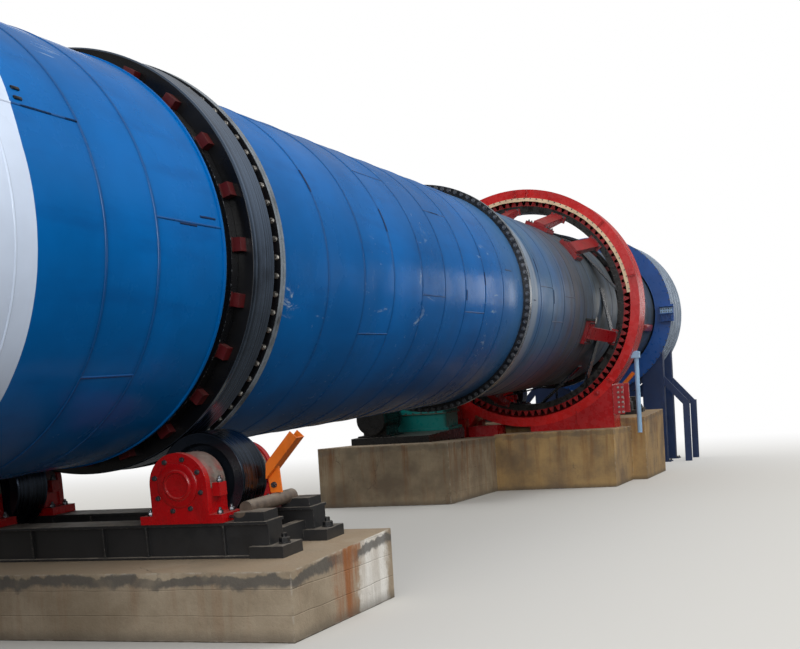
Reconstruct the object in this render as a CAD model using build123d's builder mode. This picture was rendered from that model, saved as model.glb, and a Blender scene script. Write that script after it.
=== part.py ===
"""Rotary drum dryer: an inclined drum on two riding rings, turned by a girth gear.

The drum axis rises along +X. Most pieces are drawn in the drum's own frame, where
"station" is the distance along the axis from the middle of the first riding ring,
"side" is the distance towards +Y and "rise" is the distance above the axis.
The origin is on the ground, straight below the middle of the first riding ring.
All sizes are in millimetres.
"""
import os
from math import acos, atan, cos, degrees, pi, radians, sin, sqrt, tan

from build123d import *

os.makedirs("parts", exist_ok=True)

# Clearances
seat_gap = 0.3
bearing_play = 0.05
running_gap = 12.0

# Drum axis
slope = 0.05
axis_height = 3070.0

# Drum shell
shell_radius = 1700.0
shell_wall = 28.0
shell_start = -5900.0
shell_end = 22750.0
rim_lip = 12.0
rim_width = 30.0
seal_ring_depth = 102.0
seal_ring_width = 60.0
seal_ring_inset = 690.0

# Riding rings and the necks that carry them
ring_width = 336.0
ring_depth = 150.0
neck_inset = 100.0
neck_wall = 50.0
seat_height = 49.7
neck_near_reach = 459.0
neck_far_reach = 260.0
neck_lap = 140.0
pad_margin = 12.0
second_ring_station = 17200.0
block_count = 24
block_length = 110.0
block_width = 90.0
block_height = 78.0
ring_edge = 14.0

# Bolted shell flanges
flange_rise = 110.0
flange_thickness = 42.0
flange_inset = 80.0
middle_joint_station = 8549.0
wide_flange_thickness = 77.0
joint_groove = 8.0

# Support rollers
roller_radius = 400.0
roller_width = 390.0
roller_angle = 31.0
roller_shaft_radius = 95.0
roller_hub_radius = 165.0
roller_hub_reach = 20.0
roller_web_depth = 60.0
roller_rim_depth = 95.0
roller_dish_taper = 20.0
roller_edge = 10.0
bearing_reach = 560.0
bearing_length = 320.0
bearing_radius = 262.0
bearing_cap_length = 62.0
bearing_cap_step = 14.0
bearing_lug_depth = 110.0
bearing_foot_drop = 316.0
bearing_foot_width = 760.0
bearing_foot_height = 70.0
shaft_end_clearance = 8.0

# Roller base frames
frame_depth = 290.0
frame_plate = 24.0
frame_beam_width = 230.0
frame_plate_width = 300.0
frame_half_span = 1890.0
stop_inner_reach = 1590.0
stop_outer_reach = 1860.0
stop_height = 74.0
edge_beam_reach = 1760.0
edge_beam_width = 90.0
low_beam_height = 175.0
tie_reach = 1640.0
tie_radius = 58.0
tie_lift = 92.0
foot_length = 340.0
foot_overhang = 140.0
foot_depth = 300.0
foot_height = 95.0

# Block holders beside the rollers
holder_angle = 44.0
holder_run = 360.0
holder_tongue = 215.0
holder_width = 141.0
holder_depth = 84.0
holder_wall = 9.0
holder_station = 60.0
holder_reach = 1660.0
holder_rise = 1852.0
ear_width = 70.0
ear_thickness = 22.0

# Girth gear and pinion
gear_module = 47.0
gear_teeth = 96
pinion_teeth = 18
pressure_angle = 20.0
gear_start = 14800.0
gear_width = 450.0
gear_rim_depth = 140.0
backlash = 6.0
tooth_root_room = 14.0
pinion_angle = 40.0
pinion_overlap = 25.0
pinion_shaft_radius = 95.0
pinion_shaft_drive_reach = 700.0
pinion_shaft_free_reach = 620.0

# Gear carriers on the drum
carrier_angles = (20.0, 55.0, 88.0, 116.0, 143.0, 201.0, 287.0, 325.0)
carrier_width = 240.0
carrier_foot_width = 480.0
carrier_foot_length = 560.0
carrier_foot_height = 60.0
carrier_foot_curve = 20.0
carrier_lap = 1.0
carrier_start = 13400.0
carrier_head_width = 330.0
carrier_head_thickness = 60.0
carrier_head_margin = 10.0
carrier_gear_overlap = 70.0
spring_count = 12
spring_first_angle = 20.0
spring_thickness = 26.0
spring_width = 330.0

# Gear guard
guard_clearance = 27.0
guard_depth = 196.0
guard_start = 14740.0
guard_width = 720.0
guard_sheet = 12.0
guard_gap_half_angle = 14.0
guard_rear_inset = 45.0
guard_stand_reach = 1840.0
guard_stand_lift = 75.0
guard_stand_foot = 114.0
guard_stand_depth = 200.0
strip_depth = 78.0
strip_thickness = 12.0
strip_hold = 24.0
strip_start_angle = 24.0
strip_end_angle = 176.0
drain_radius = 50.0
drain_station = 15060.0
drain_reach = 2330.0
drain_foot_height = 1030.0
drain_top_height = 2760.0
drain_clamp_width = 150.0
drain_clamp_length = 250.0
drain_clamp_height = 135.0
cover_room = 45.0
cover_wall = 12.0

# Feed and discharge hoods
hood_step = 437.0
hood_length = 2270.0
hood_wall = 14.0
hood_opening_gap = 42.0
hood_gap_to_ring = 260.0
hood_lip = 45.0
hatch_width = 380.0
hatch_height = 460.0
hatch_depth = 130.0
hatch_inset = 70.0
hatch_drop = 80.0

# Hood frames
leg_width = 600.0
leg_depth = 300.0
leg_side = 1550.0
leg_inset = 260.0
foot_plate = 25.0
foot_plate_margin = 100.0
tie_depth = 180.0
tie_gap = 40.0
brace_width = 170.0
brace_thickness = 110.0
brace_top = 2590.0
brace_foot = 190.0
strut_end_side = 2420.0
strut_end_height = 1600.0

# Foundations
pier_half_width = 2365.0
pier_1_start = -1104.0
pier_1_end = 828.0
pier_2_start = 15480.0
pier_2_end = 18300.0
gear_pier_start = 13600.0
gear_pier_side = 2050.0
drive_pier_start = 10650.0
drive_pier_end = 15200.0
drive_pier_inner = 450.0
drive_pier_outer = 3060.0
drive_base_depth = 224.0
base_margin = 60.0

# Pinion bearings and coupling
pedestal_length = 300.0
pedestal_near_gap = 80.0
pedestal_far_gap = 100.0
pedestal_radius = 215.0
pedestal_foot_width = 720.0
coupling_length = 190.0
coupling_radius = 185.0
coupling_rim = 45.0

# Gearbox
gearbox_length = 900.0
gearbox_inner = 1330.0
gearbox_outer = 2860.0
gearbox_height = 860.0
gearbox_foot_drop = 350.0
gearbox_foot_height = 45.0
gearbox_inset = 60.0
gearbox_seam_height = 40.0
gearbox_seam_inset = 30.0
gearbox_round = 30.0
output_boss_radius = 230.0
input_boss_radius = 150.0

# Motor and the coupling between it and the gearbox
motor_radius = 290.0
motor_length = 980.0
motor_side = 2500.0
motor_gap = 330.0
motor_cowl_length = 180.0
motor_shield_length = 140.0
motor_pedestal_width = 490.0
motor_foot_width = 700.0
motor_foot_inset = 120.0
motor_foot_height = 30.0
terminal_box_length = 300.0
terminal_box_width = 260.0
terminal_box_rise = 110.0
link_radius = 170.0
link_hub_radius = 110.0
link_width = 110.0

# Grease tray
tray_length = 640.0
tray_width = 650.0
tray_height = 230.0
tray_side = 975.0
tray_wall = 6.0
tray_margin = 60.0

# Derived sizes
tilt = atan(slope)
axis_dir = Vector(cos(tilt), 0, sin(tilt))
axis_up = Vector(-sin(tilt), 0, cos(tilt))
axis_origin = Vector(0, 0, axis_height)
drum_axis = Axis(axis_origin, axis_dir)

seal_ring_radius = shell_radius + seal_ring_depth
neck_radius = shell_radius - neck_inset
pad_radius = neck_radius + seat_height
ring_bore = pad_radius + seat_gap
ring_radius = ring_bore + ring_depth
flange_radius = shell_radius + flange_rise
flange_bore = shell_radius - flange_inset
first_joint_station = neck_far_reach + flange_thickness
roller_centre = ring_radius + roller_radius + seat_gap
roller_side = roller_centre * sin(radians(roller_angle))
roller_drop = roller_centre * cos(radians(roller_angle))
frame_top_drop = roller_drop + bearing_foot_drop
frame_bottom_drop = frame_top_drop + frame_depth

gear_pitch_radius = gear_module * gear_teeth / 2
pinion_pitch_radius = gear_module * pinion_teeth / 2
gear_centre = gear_pitch_radius + pinion_pitch_radius
gear_tip_radius = gear_pitch_radius + gear_module
gear_root_radius = gear_pitch_radius - gear_module - tooth_root_room
gear_bore = gear_root_radius - gear_rim_depth
pinion_tip_radius = pinion_pitch_radius + gear_module
pinion_root_radius = pinion_pitch_radius - gear_module - tooth_root_room
pinion_side = gear_centre * sin(radians(pinion_angle))
pinion_drop = gear_centre * cos(radians(pinion_angle))
guard_inner_radius = gear_tip_radius + guard_clearance
guard_outer_radius = guard_inner_radius + guard_depth
guard_rear_radius = gear_root_radius - guard_rear_inset
hood_radius = shell_radius + hood_step
hood_face = shell_end - seal_ring_inset + hood_gap_to_ring


def at(station, side=0.0, rise=0.0):
    """A point in the drum's frame, as a point in the world."""
    return axis_origin + axis_dir * station + Vector(0, side, 0) + axis_up * rise


def across(station, side=0.0, rise=0.0):
    """Plane square to the drum axis: local x is the side, local y is the rise."""
    return Plane(at(station, side, rise), x_dir=(0, 1, 0), z_dir=axis_dir)


def lengthwise(side=0.0, rise=0.0):
    """Upright plane along the drum: local x is the station, local y is the rise."""
    return Plane(at(0, side, rise), x_dir=axis_dir, z_dir=(0, -1, 0))


def deck(rise, station=0.0, side=0.0):
    """Plane along the drum, facing up: local x is the station, local y is the side."""
    return Plane(at(station, side, rise), x_dir=axis_dir, z_dir=axis_up)


def height_of(station, rise):
    """Height above the ground of a point in the drum's upright middle plane."""
    return at(station, 0, rise).Z


def finish(part, name):
    """Label a finished piece and write it."""
    part.label = name
    export_step(part, f"parts/{name}.step")


def turned(name, outline):
    """A piece turned about the drum axis from an outline of (station, radius) points."""
    with BuildPart() as piece:
        with BuildSketch(lengthwise()):
            with BuildLine():
                Polyline(*outline, close=True)
            make_face()
        revolve(axis=drum_axis)
    finish(piece.part, name)


# Drum shell sections
def tube_outline(start, end, radius, wall):
    """Outline of a plain tube between two stations."""
    return [(start, radius - wall), (end, radius - wall), (end, radius), (start, radius)]


shell_bore = shell_radius - shell_wall
seal_ring_front = shell_start + seal_ring_inset
seal_ring_rear = shell_end - seal_ring_inset

turned("shell_front", [
    (shell_start, shell_bore),
    (-neck_near_reach - rim_width, shell_bore),
    (-neck_near_reach - rim_width, neck_radius + seat_gap),
    (-neck_near_reach, neck_radius + seat_gap),
    (-neck_near_reach, shell_radius + rim_lip),
    (-neck_near_reach - rim_width, shell_radius + rim_lip),
    (-neck_near_reach - rim_width, shell_radius),
    (seal_ring_front + seal_ring_width, shell_radius),
    (seal_ring_front + seal_ring_width, seal_ring_radius),
    (seal_ring_front, seal_ring_radius),
    (seal_ring_front, shell_radius),
    (shell_start, shell_radius),
])

turned("shell_middle", tube_outline(
    first_joint_station + flange_thickness + seat_gap,
    middle_joint_station - flange_thickness - seat_gap, shell_radius, shell_wall))

second_neck_start = second_ring_station - neck_near_reach
second_neck_end = second_ring_station + neck_near_reach

turned("shell_rear", [
    (middle_joint_station + wide_flange_thickness + seat_gap, shell_bore),
    (second_neck_start - rim_width, shell_bore),
    (second_neck_start - rim_width, neck_radius + seat_gap),
    (second_neck_start, neck_radius + seat_gap),
    (second_neck_start, shell_radius),
    (middle_joint_station + wide_flange_thickness + seat_gap, shell_radius),
])

turned("shell_feed_end", [
    (second_neck_end, neck_radius + seat_gap),
    (second_neck_end + rim_width, neck_radius + seat_gap),
    (second_neck_end + rim_width, shell_bore),
    (shell_end, shell_bore),
    (shell_end, shell_radius),
    (seal_ring_rear, shell_radius),
    (seal_ring_rear, seal_ring_radius),
    (seal_ring_rear - seal_ring_width, seal_ring_radius),
    (seal_ring_rear - seal_ring_width, shell_radius),
    (second_neck_end, shell_radius),
])


# Necks under the riding rings, each a thick plate with a raised seat
pad_reach = ring_width / 2 + seat_gap + block_width + pad_margin
first_flange_face = first_joint_station - flange_thickness

turned("ring_neck_1", [
    (-neck_near_reach - neck_lap, neck_radius - neck_wall),
    (first_flange_face, neck_radius - neck_wall),
    (first_flange_face, pad_radius),
    (-pad_reach, pad_radius),
    (-pad_reach, neck_radius),
    (-neck_near_reach - neck_lap, neck_radius),
])

turned("ring_neck_2", [
    (second_neck_start - neck_lap, neck_radius - neck_wall),
    (second_neck_end + neck_lap, neck_radius - neck_wall),
    (second_neck_end + neck_lap, neck_radius),
    (second_ring_station + pad_reach, neck_radius),
    (second_ring_station + pad_reach, pad_radius),
    (second_ring_station - pad_reach, pad_radius),
    (second_ring_station - pad_reach, neck_radius),
    (second_neck_start - neck_lap, neck_radius),
])


# Riding rings
def riding_ring(name, station):
    """A riding ring with eased edges, loose on its seat."""
    half = ring_width / 2
    turned(name, [
        (station - half, ring_bore),
        (station + half, ring_bore),
        (station + half, ring_radius - ring_edge),
        (station + half - ring_edge, ring_radius),
        (station - half + ring_edge, ring_radius),
        (station - half, ring_radius - ring_edge),
    ])


riding_ring("riding_ring_1", 0)
riding_ring("riding_ring_2", second_ring_station)


# Retaining blocks that keep each riding ring in place, on both sides of it
def retaining_blocks(name, station):
    """Blocks welded on the seat, close against both faces of the riding ring."""
    inner = pad_radius + seat_gap
    with BuildPart() as blocks:
        for direction in (-1, 1):
            face = station + direction * (ring_width / 2 + seat_gap)
            start = min(face, face + direction * block_width)
            with BuildSketch(across(start)):
                with PolarLocations(inner + block_height / 2, block_count):
                    Rectangle(block_height, block_length)
                Circle(inner, mode=Mode.SUBTRACT)
            extrude(amount=block_width)
    finish(blocks.part, name)


retaining_blocks("retaining_blocks_1", 0)
retaining_blocks("retaining_blocks_2", second_ring_station)


# Bolted flanges that join the shell sections
def flange_pair(name, station, rear_thickness):
    """Two flanges face to face, as one ring with a shallow groove at the joint."""
    front = station - flange_thickness
    rear = station + rear_thickness
    turned(name, [
        (front, flange_bore),
        (rear, flange_bore),
        (rear, flange_radius),
        (station + joint_groove / 2, flange_radius),
        (station + joint_groove / 2, flange_radius - joint_groove),
        (station - joint_groove / 2, flange_radius - joint_groove),
        (station - joint_groove / 2, flange_radius),
        (front, flange_radius),
    ])


flange_pair("flange_joint_1", first_joint_station, flange_thickness)
flange_pair("flange_joint_2", middle_joint_station, wide_flange_thickness)


# Girth gear and pinion teeth
def involute_half_angle(teeth, radius, thinning):
    """Half the angle that one tooth takes up at a radius, on involute flanks."""
    pitch_radius = gear_module * teeth / 2
    base_radius = pitch_radius * cos(radians(pressure_angle))
    half_pitch = (pi * gear_module / 2 - thinning) / (2 * pitch_radius)
    pitch_roll = tan(radians(pressure_angle)) - radians(pressure_angle)
    if radius <= base_radius:
        return half_pitch + pitch_roll
    flank = acos(base_radius / radius)
    return half_pitch + pitch_roll - (tan(flank) - flank)


def toothed_outline(teeth, root_radius, tip_radius, first_angle, flank_steps):
    """Points round a gear: each tooth has a root, stepped flanks and a flat tip."""
    points = []
    radii = [root_radius + (tip_radius - root_radius) * k / flank_steps for k in range(flank_steps + 1)]
    for tooth in range(teeth):
        centre = radians(first_angle) + 2 * pi * tooth / teeth
        rising = [(r, centre - involute_half_angle(teeth, r, backlash / 2)) for r in radii]
        falling = [(r, centre + involute_half_angle(teeth, r, backlash / 2)) for r in reversed(radii)]
        points += [(r * cos(a), r * sin(a)) for r, a in rising + falling]
    return points


# A gear tooth points straight at the pinion, and a pinion gap faces it
mesh_angle = pinion_angle - 90.0
with BuildPart() as gear:
    with BuildSketch(across(gear_start)):
        with BuildLine():
            Polyline(
                *toothed_outline(gear_teeth, gear_root_radius, gear_tip_radius, mesh_angle, 2),
                close=True)
        make_face()
        Circle(gear_bore, mode=Mode.SUBTRACT)
    extrude(amount=gear_width)
finish(gear.part, "girth_gear")

pinion_start = gear_start - pinion_overlap
pinion_width = gear_width + 2 * pinion_overlap
pinion_tooth_angle = mesh_angle + 180.0 + 180.0 / pinion_teeth
pinion_shaft_start = pinion_start - pinion_shaft_drive_reach
pinion_shaft_end = pinion_start + pinion_width + pinion_shaft_free_reach
with BuildPart() as pinion:
    with BuildSketch(across(pinion_start, pinion_side, -pinion_drop)):
        with BuildLine():
            Polyline(
                *toothed_outline(pinion_teeth, pinion_root_radius, pinion_tip_radius, pinion_tooth_angle, 3),
                close=True)
        make_face()
    extrude(amount=pinion_width)
    with BuildSketch(across(pinion_shaft_start, pinion_side, -pinion_drop)):
        Circle(pinion_shaft_radius)
    extrude(amount=pinion_shaft_end - pinion_shaft_start)
finish(pinion.part, "pinion")


def radial_plane(angle):
    """Plane through the drum axis at an angle: local x is the station, local y the radius."""
    outward = Vector(0, cos(radians(angle)), 0) + axis_up * sin(radians(angle))
    return Plane(axis_origin, x_dir=axis_dir, z_dir=axis_dir.cross(outward))


# Carriers and spring plates that hold the girth gear on the shell
carrier_end = gear_start - seat_gap
carrier_head_low = gear_bore - carrier_gear_overlap
carrier_head_high = gear_bore + carrier_gear_overlap
carrier_foot_low = shell_radius + seat_gap
carrier_foot_high = shell_radius + carrier_foot_height
carrier_arm_start = carrier_start + carrier_foot_length / 4
carrier_arm_end = carrier_end - carrier_head_thickness / 2
with BuildPart() as carriers:
    for angle in carrier_angles:
        with BuildSketch(radial_plane(angle)):
            with BuildLine():
                Polyline(
                    (carrier_arm_start, carrier_foot_high - carrier_lap),
                    (carrier_arm_start, carrier_foot_high + carrier_foot_height),
                    (carrier_arm_end, carrier_head_high - carrier_head_margin),
                    (carrier_arm_end, carrier_head_low + carrier_head_margin),
                    (carrier_start + carrier_foot_length, carrier_foot_high - carrier_lap),
                    close=True)
            make_face()
        extrude(amount=carrier_width / 2, both=True)
    with BuildSketch(across(carrier_start)):
        for angle in carrier_angles:
            with PolarLocations((carrier_foot_low + carrier_foot_high) / 2, 1, start_angle=angle):
                Rectangle(carrier_foot_high - carrier_foot_low + carrier_foot_curve, carrier_foot_width)
        Circle(carrier_foot_low, mode=Mode.SUBTRACT)
    extrude(amount=carrier_foot_length)
    with BuildSketch(across(carrier_end - carrier_head_thickness)):
        for angle in carrier_angles:
            with PolarLocations(gear_bore, 1, start_angle=angle):
                Rectangle(2 * carrier_gear_overlap, carrier_head_width)
    extrude(amount=carrier_head_thickness)
finish(carriers.part, "gear_carriers")

spring_low = shell_radius + seat_gap
spring_high = gear_bore - seat_gap
spring_start = gear_start + (gear_width - spring_width) / 2
spring_run = sqrt(spring_high ** 2 - spring_low ** 2)
with BuildSketch() as spring_profile:
    with Locations((spring_low + spring_thickness / 2, spring_run / 2)):
        Rectangle(spring_thickness, spring_run + spring_thickness)
with BuildPart() as springs:
    with BuildSketch(across(spring_start)):
        with PolarLocations(0, spring_count, start_angle=spring_first_angle):
            add(spring_profile.sketch)
        Circle(spring_high, mode=Mode.INTERSECT)
    extrude(amount=spring_width)
finish(springs.part, "spring_plates")


# Support rollers, each turned in one piece with its shaft
shaft_reach = bearing_reach - bearing_cap_length - shaft_end_clearance


def support_roller(name, station, hand):
    """A roller with dished faces, hubs and a shaft that ends inside its bearings."""
    side = hand * roller_side
    half = roller_width / 2
    rim_inner = roller_radius - roller_rim_depth
    web = half - roller_web_depth
    right_half = [
        (0, roller_radius),
        (half - roller_edge, roller_radius),
        (half, roller_radius - roller_edge),
        (half, rim_inner),
        (web, rim_inner - roller_dish_taper),
        (web, roller_hub_radius + roller_dish_taper),
        (half + roller_hub_reach, roller_hub_radius),
        (half + roller_hub_reach, roller_shaft_radius),
        (shaft_reach, roller_shaft_radius),
    ]
    left_half = [(-x, y) for x, y in reversed(right_half[1:])]
    outline = left_half + right_half + [(shaft_reach, 0), (-shaft_reach, 0)]
    with BuildPart() as roller:
        with BuildSketch(lengthwise(side, -roller_drop)):
            with BuildLine():
                Polyline(*[(station + x, y) for x, y in outline], close=True)
            make_face()
        revolve(axis=Axis(at(0, side, -roller_drop), axis_dir))
    finish(roller.part, name)


for number, ring_station in ((1, 0.0), (2, second_ring_station)):
    support_roller(f"support_roller_{number}_near", ring_station, -1)
    support_roller(f"support_roller_{number}_far", ring_station, 1)


# Bearing housings: a round barrel on a block, with a cap over the outer end
barrel_radius = bearing_radius - bearing_cap_step


def bearing_housings(name, ring_station):
    """The four housings of one roller station."""
    with BuildPart() as housings:
        for hand in (-1, 1):
            side = hand * roller_side
            for outward in (-1, 1):
                outer_end = ring_station + outward * bearing_reach
                start = min(outer_end, outer_end - outward * bearing_length)
                cap_start = min(outer_end, outer_end - outward * bearing_cap_length)
                bore_start = start if outward > 0 else start + bearing_cap_length
                with BuildSketch(across(start, side, -roller_drop)):
                    Circle(barrel_radius)
                    with Locations((0, -bearing_foot_drop / 2)):
                        Rectangle(2 * barrel_radius, bearing_foot_drop)
                    with Locations((0, -bearing_foot_drop + bearing_foot_height / 2)):
                        Rectangle(bearing_foot_width, bearing_foot_height)
                extrude(amount=bearing_length)
                with BuildSketch(across(cap_start, side, -roller_drop)):
                    Circle(bearing_radius)
                    with Locations((0, -bearing_foot_drop / 2)):
                        Rectangle(2 * bearing_radius, bearing_foot_drop)
                extrude(amount=bearing_cap_length)
                lug_start = start + (bearing_length - bearing_lug_depth) / 2
                with BuildSketch(across(lug_start, side, -roller_drop)):
                    with Locations((0, -bearing_lug_depth / 2)):
                        Rectangle(2 * bearing_radius + bearing_lug_depth, bearing_lug_depth)
                extrude(amount=bearing_lug_depth)
                with BuildSketch(across(bore_start, side, -roller_drop)):
                    Circle(roller_shaft_radius + bearing_play)
                extrude(amount=bearing_length - bearing_cap_length, mode=Mode.SUBTRACT)
    finish(housings.part, name)


bearing_housings("bearing_housings_1", 0.0)
bearing_housings("bearing_housings_2", second_ring_station)


# Roller base frames: a cross beam under each pair of bearings, with plates, stops, ties and feet
beam_station = bearing_reach - bearing_length / 2
foot_inner_reach = frame_half_span + foot_overhang - foot_depth


def base_frame(name, station):
    """A welded frame of two deep cross beams, held apart by beams along the drum."""
    plate_drop = frame_top_drop + frame_plate - seat_gap
    with BuildPart() as frame:
        with BuildSketch(deck(-frame_bottom_drop, station)):
            with Locations((-beam_station, 0), (beam_station, 0)):
                Rectangle(frame_beam_width, 2 * frame_half_span)
        extrude(amount=frame_depth - seat_gap)
        with BuildSketch(deck(-plate_drop, station)):
            with Locations((-beam_station, 0), (beam_station, 0)):
                Rectangle(frame_plate_width, 2 * frame_half_span)
        extrude(amount=frame_plate - 2 * seat_gap)
        with BuildSketch(deck(-frame_bottom_drop, station)):
            with Locations((0, -roller_side), (0, 0), (0, roller_side)):
                Rectangle(2 * beam_station, frame_beam_width)
            with Locations((0, -edge_beam_reach), (0, edge_beam_reach)):
                Rectangle(2 * beam_station, edge_beam_width)
        extrude(amount=low_beam_height)
        with BuildSketch(deck(-frame_bottom_drop, station)):
            for side in (-foot_inner_reach - foot_depth / 2, foot_inner_reach + foot_depth / 2):
                with Locations((-beam_station, side), (beam_station, side)):
                    Rectangle(foot_length, foot_depth)
        extrude(amount=foot_height)
        with BuildSketch(deck(-plate_drop, station)):
            for side in (-stop_inner_reach - stop_outer_reach, stop_inner_reach + stop_outer_reach):
                with Locations((-beam_station, side / 2), (beam_station, side / 2)):
                    Rectangle(frame_beam_width, stop_outer_reach - stop_inner_reach)
        extrude(amount=frame_plate + stop_height)
        for side in (-tie_reach, tie_reach):
            with BuildSketch(across(station - beam_station, side, -frame_top_drop + tie_lift)):
                Circle(tie_radius)
            extrude(amount=2 * beam_station)
    finish(frame.part, name)


base_frame("base_frame_1", 0)
base_frame("base_frame_2", second_ring_station)


# Block holders: open channels that lean outwards beside the rollers, pivoted on an ear
def block_holders(name, ring_station):
    """Two inclined channels, one beside each roller of a station."""
    lean = radians(holder_angle)
    along = (sin(lean), cos(lean))
    inward = (-cos(lean), sin(lean))

    def place(hand, run, depth):
        """A point up the channel and in from its back, as (side, rise)."""
        side = holder_reach + along[0] * run + inward[0] * depth
        rise = -holder_rise + along[1] * run + inward[1] * depth
        return (hand * side, rise)

    tie_top = -frame_top_drop + tie_lift + tie_radius
    start = ring_station + holder_station
    with BuildPart() as holders:
        for hand in (-1, 1):
            with BuildSketch(across(start)):
                with BuildLine():
                    Polyline(
                        place(hand, -holder_tongue / 2, 0), place(hand, holder_run, 0),
                        place(hand, holder_run, holder_depth), place(hand, 0, holder_depth), close=True)
                make_face()
            extrude(amount=holder_width)
            with BuildSketch(across(start + holder_wall)):
                with BuildLine():
                    Polyline(
                        place(hand, -holder_tongue, holder_wall), place(hand, 2 * holder_run, holder_wall),
                        place(hand, 2 * holder_run, 2 * holder_depth),
                        place(hand, -holder_tongue, 2 * holder_depth), close=True)
                make_face()
            extrude(amount=holder_width - 2 * holder_wall, mode=Mode.SUBTRACT)
            with BuildSketch(across(start + (holder_width - ear_thickness) / 2)):
                with BuildLine():
                    Polyline(
                        (hand * (holder_reach - ear_width), tie_top + seat_gap),
                        (hand * (holder_reach + ear_width / 2), tie_top + seat_gap),
                        place(hand, ear_width / 2, 0),
                        place(hand, ear_width / 2, holder_wall),
                        place(hand, -holder_tongue / 2, holder_wall), close=True)
                make_face()
            extrude(amount=ear_thickness)
    finish(holders.part, name)


block_holders("block_holders_1", 0.0)
block_holders("block_holders_2", second_ring_station)


# Gear guard: a channel round the gear, open at the pinion, on a box stand
guard_end = guard_start + guard_width
guard_from = mesh_angle + guard_gap_half_angle
guard_arc = 360.0 - 2 * guard_gap_half_angle
with BuildPart() as guard:
    with BuildSketch(radial_plane(guard_from)):
        with BuildLine():
            Polyline(
                (guard_start, guard_inner_radius),
                (guard_start, guard_outer_radius),
                (guard_end, guard_outer_radius),
                (guard_end, guard_rear_radius),
                (guard_end - guard_sheet, guard_rear_radius),
                (guard_end - guard_sheet, guard_outer_radius - guard_sheet),
                (guard_start + guard_sheet, guard_outer_radius - guard_sheet),
                (guard_start + guard_sheet, guard_inner_radius),
                close=True)
        make_face()
    revolve(axis=drum_axis, revolution_arc=guard_arc)
finish(guard.part, "gear_guard")

with BuildPart() as strip:
    with BuildSketch(radial_plane(strip_start_angle)):
        with BuildLine():
            Polyline(
                (guard_start - strip_thickness, guard_inner_radius - strip_depth),
                (guard_start - strip_thickness, guard_inner_radius + strip_hold),
                (guard_start, guard_inner_radius + strip_hold),
                (guard_start, guard_inner_radius - strip_depth),
                close=True)
        make_face()
    revolve(axis=drum_axis, revolution_arc=strip_end_angle - strip_start_angle)
finish(strip.part, "guard_seal_strip")

pier_2_top = height_of(guard_start, -guard_outer_radius) - guard_stand_foot
guard_stand_top = sqrt(guard_outer_radius ** 2 - guard_stand_reach ** 2) - guard_stand_lift
stand_bottom = Plane.XY.offset(pier_2_top + seat_gap)
with BuildPart() as stand:
    with BuildSketch(across(guard_start)):
        with BuildLine():
            Polyline(
                (-guard_stand_reach, -guard_stand_top),
                (-guard_stand_reach, -guard_outer_radius - guard_stand_depth),
                (0, -guard_outer_radius - guard_stand_depth),
                (0, -guard_stand_top),
                close=True)
        make_face()
        Circle(guard_outer_radius + seat_gap, mode=Mode.SUBTRACT)
    extrude(amount=guard_width)
    split(bisect_by=stand_bottom, keep=Keep.TOP)
finish(stand.part, "guard_stand")


# Drain pipe down the near side of the guard, held by a clamp on its rim
drain_x = at(drain_station, 0, -guard_outer_radius / 2).X
with BuildPart() as drain:
    with BuildSketch(Plane.XY.offset(drain_foot_height)):
        with Locations((drain_x, -drain_reach)):
            Circle(drain_radius)
    extrude(amount=drain_top_height - drain_foot_height)
    with BuildSketch(Plane.XY.offset(drain_top_height - drain_clamp_width)):
        with Locations((drain_x, -drain_reach + drain_radius)):
            Rectangle(drain_clamp_width, drain_clamp_length)
    extrude(amount=drain_clamp_height)
    with BuildSketch(lengthwise()):
        with Locations((drain_station, (guard_outer_radius + seat_gap) / 2)):
            Rectangle(guard_width, guard_outer_radius + seat_gap)
    revolve(axis=drum_axis, mode=Mode.SUBTRACT)
finish(drain.part, "guard_drain_pipe")


# Pinion cover: closes the guard's opening and bulges out round the pinion
cover_radius = pinion_tip_radius + cover_room
cover_half_angle = guard_gap_half_angle - degrees(seat_gap / guard_outer_radius)
cover_wall_angle = degrees(cover_wall / guard_outer_radius)


def sector(radius, half_angle):
    """Corner points of a wedge from the drum axis, centred on the pinion."""
    reach = radius / cos(radians(half_angle))
    low = radians(mesh_angle - half_angle)
    high = radians(mesh_angle + half_angle)
    return [(0, 0), (reach * cos(low), reach * sin(low)), (reach * cos(high), reach * sin(high))]


with BuildSketch() as cover_outline:
    Polygon(*sector(guard_outer_radius, cover_half_angle), align=None)
    Circle(guard_outer_radius, mode=Mode.INTERSECT)
    with Locations((pinion_side, -pinion_drop)):
        Circle(cover_radius)
    Circle(guard_inner_radius, mode=Mode.SUBTRACT)
with BuildSketch() as cover_cavity:
    Polygon(*sector(guard_outer_radius, cover_half_angle - cover_wall_angle), align=None)
    Circle(guard_outer_radius - cover_wall, mode=Mode.INTERSECT)
    with Locations((pinion_side, -pinion_drop)):
        Circle(cover_radius - cover_wall)
with BuildPart() as cover:
    with BuildSketch(across(guard_start)):
        add(cover_outline.sketch)
    extrude(amount=guard_width)
    with BuildSketch(across(guard_start + cover_wall)):
        add(cover_cavity.sketch)
    extrude(amount=guard_width - 2 * cover_wall, mode=Mode.SUBTRACT)
    with BuildSketch(across(guard_start, pinion_side, -pinion_drop)):
        Circle(pinion_shaft_radius + running_gap)
    extrude(amount=guard_width, mode=Mode.SUBTRACT)
finish(cover.part, "pinion_cover")


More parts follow.
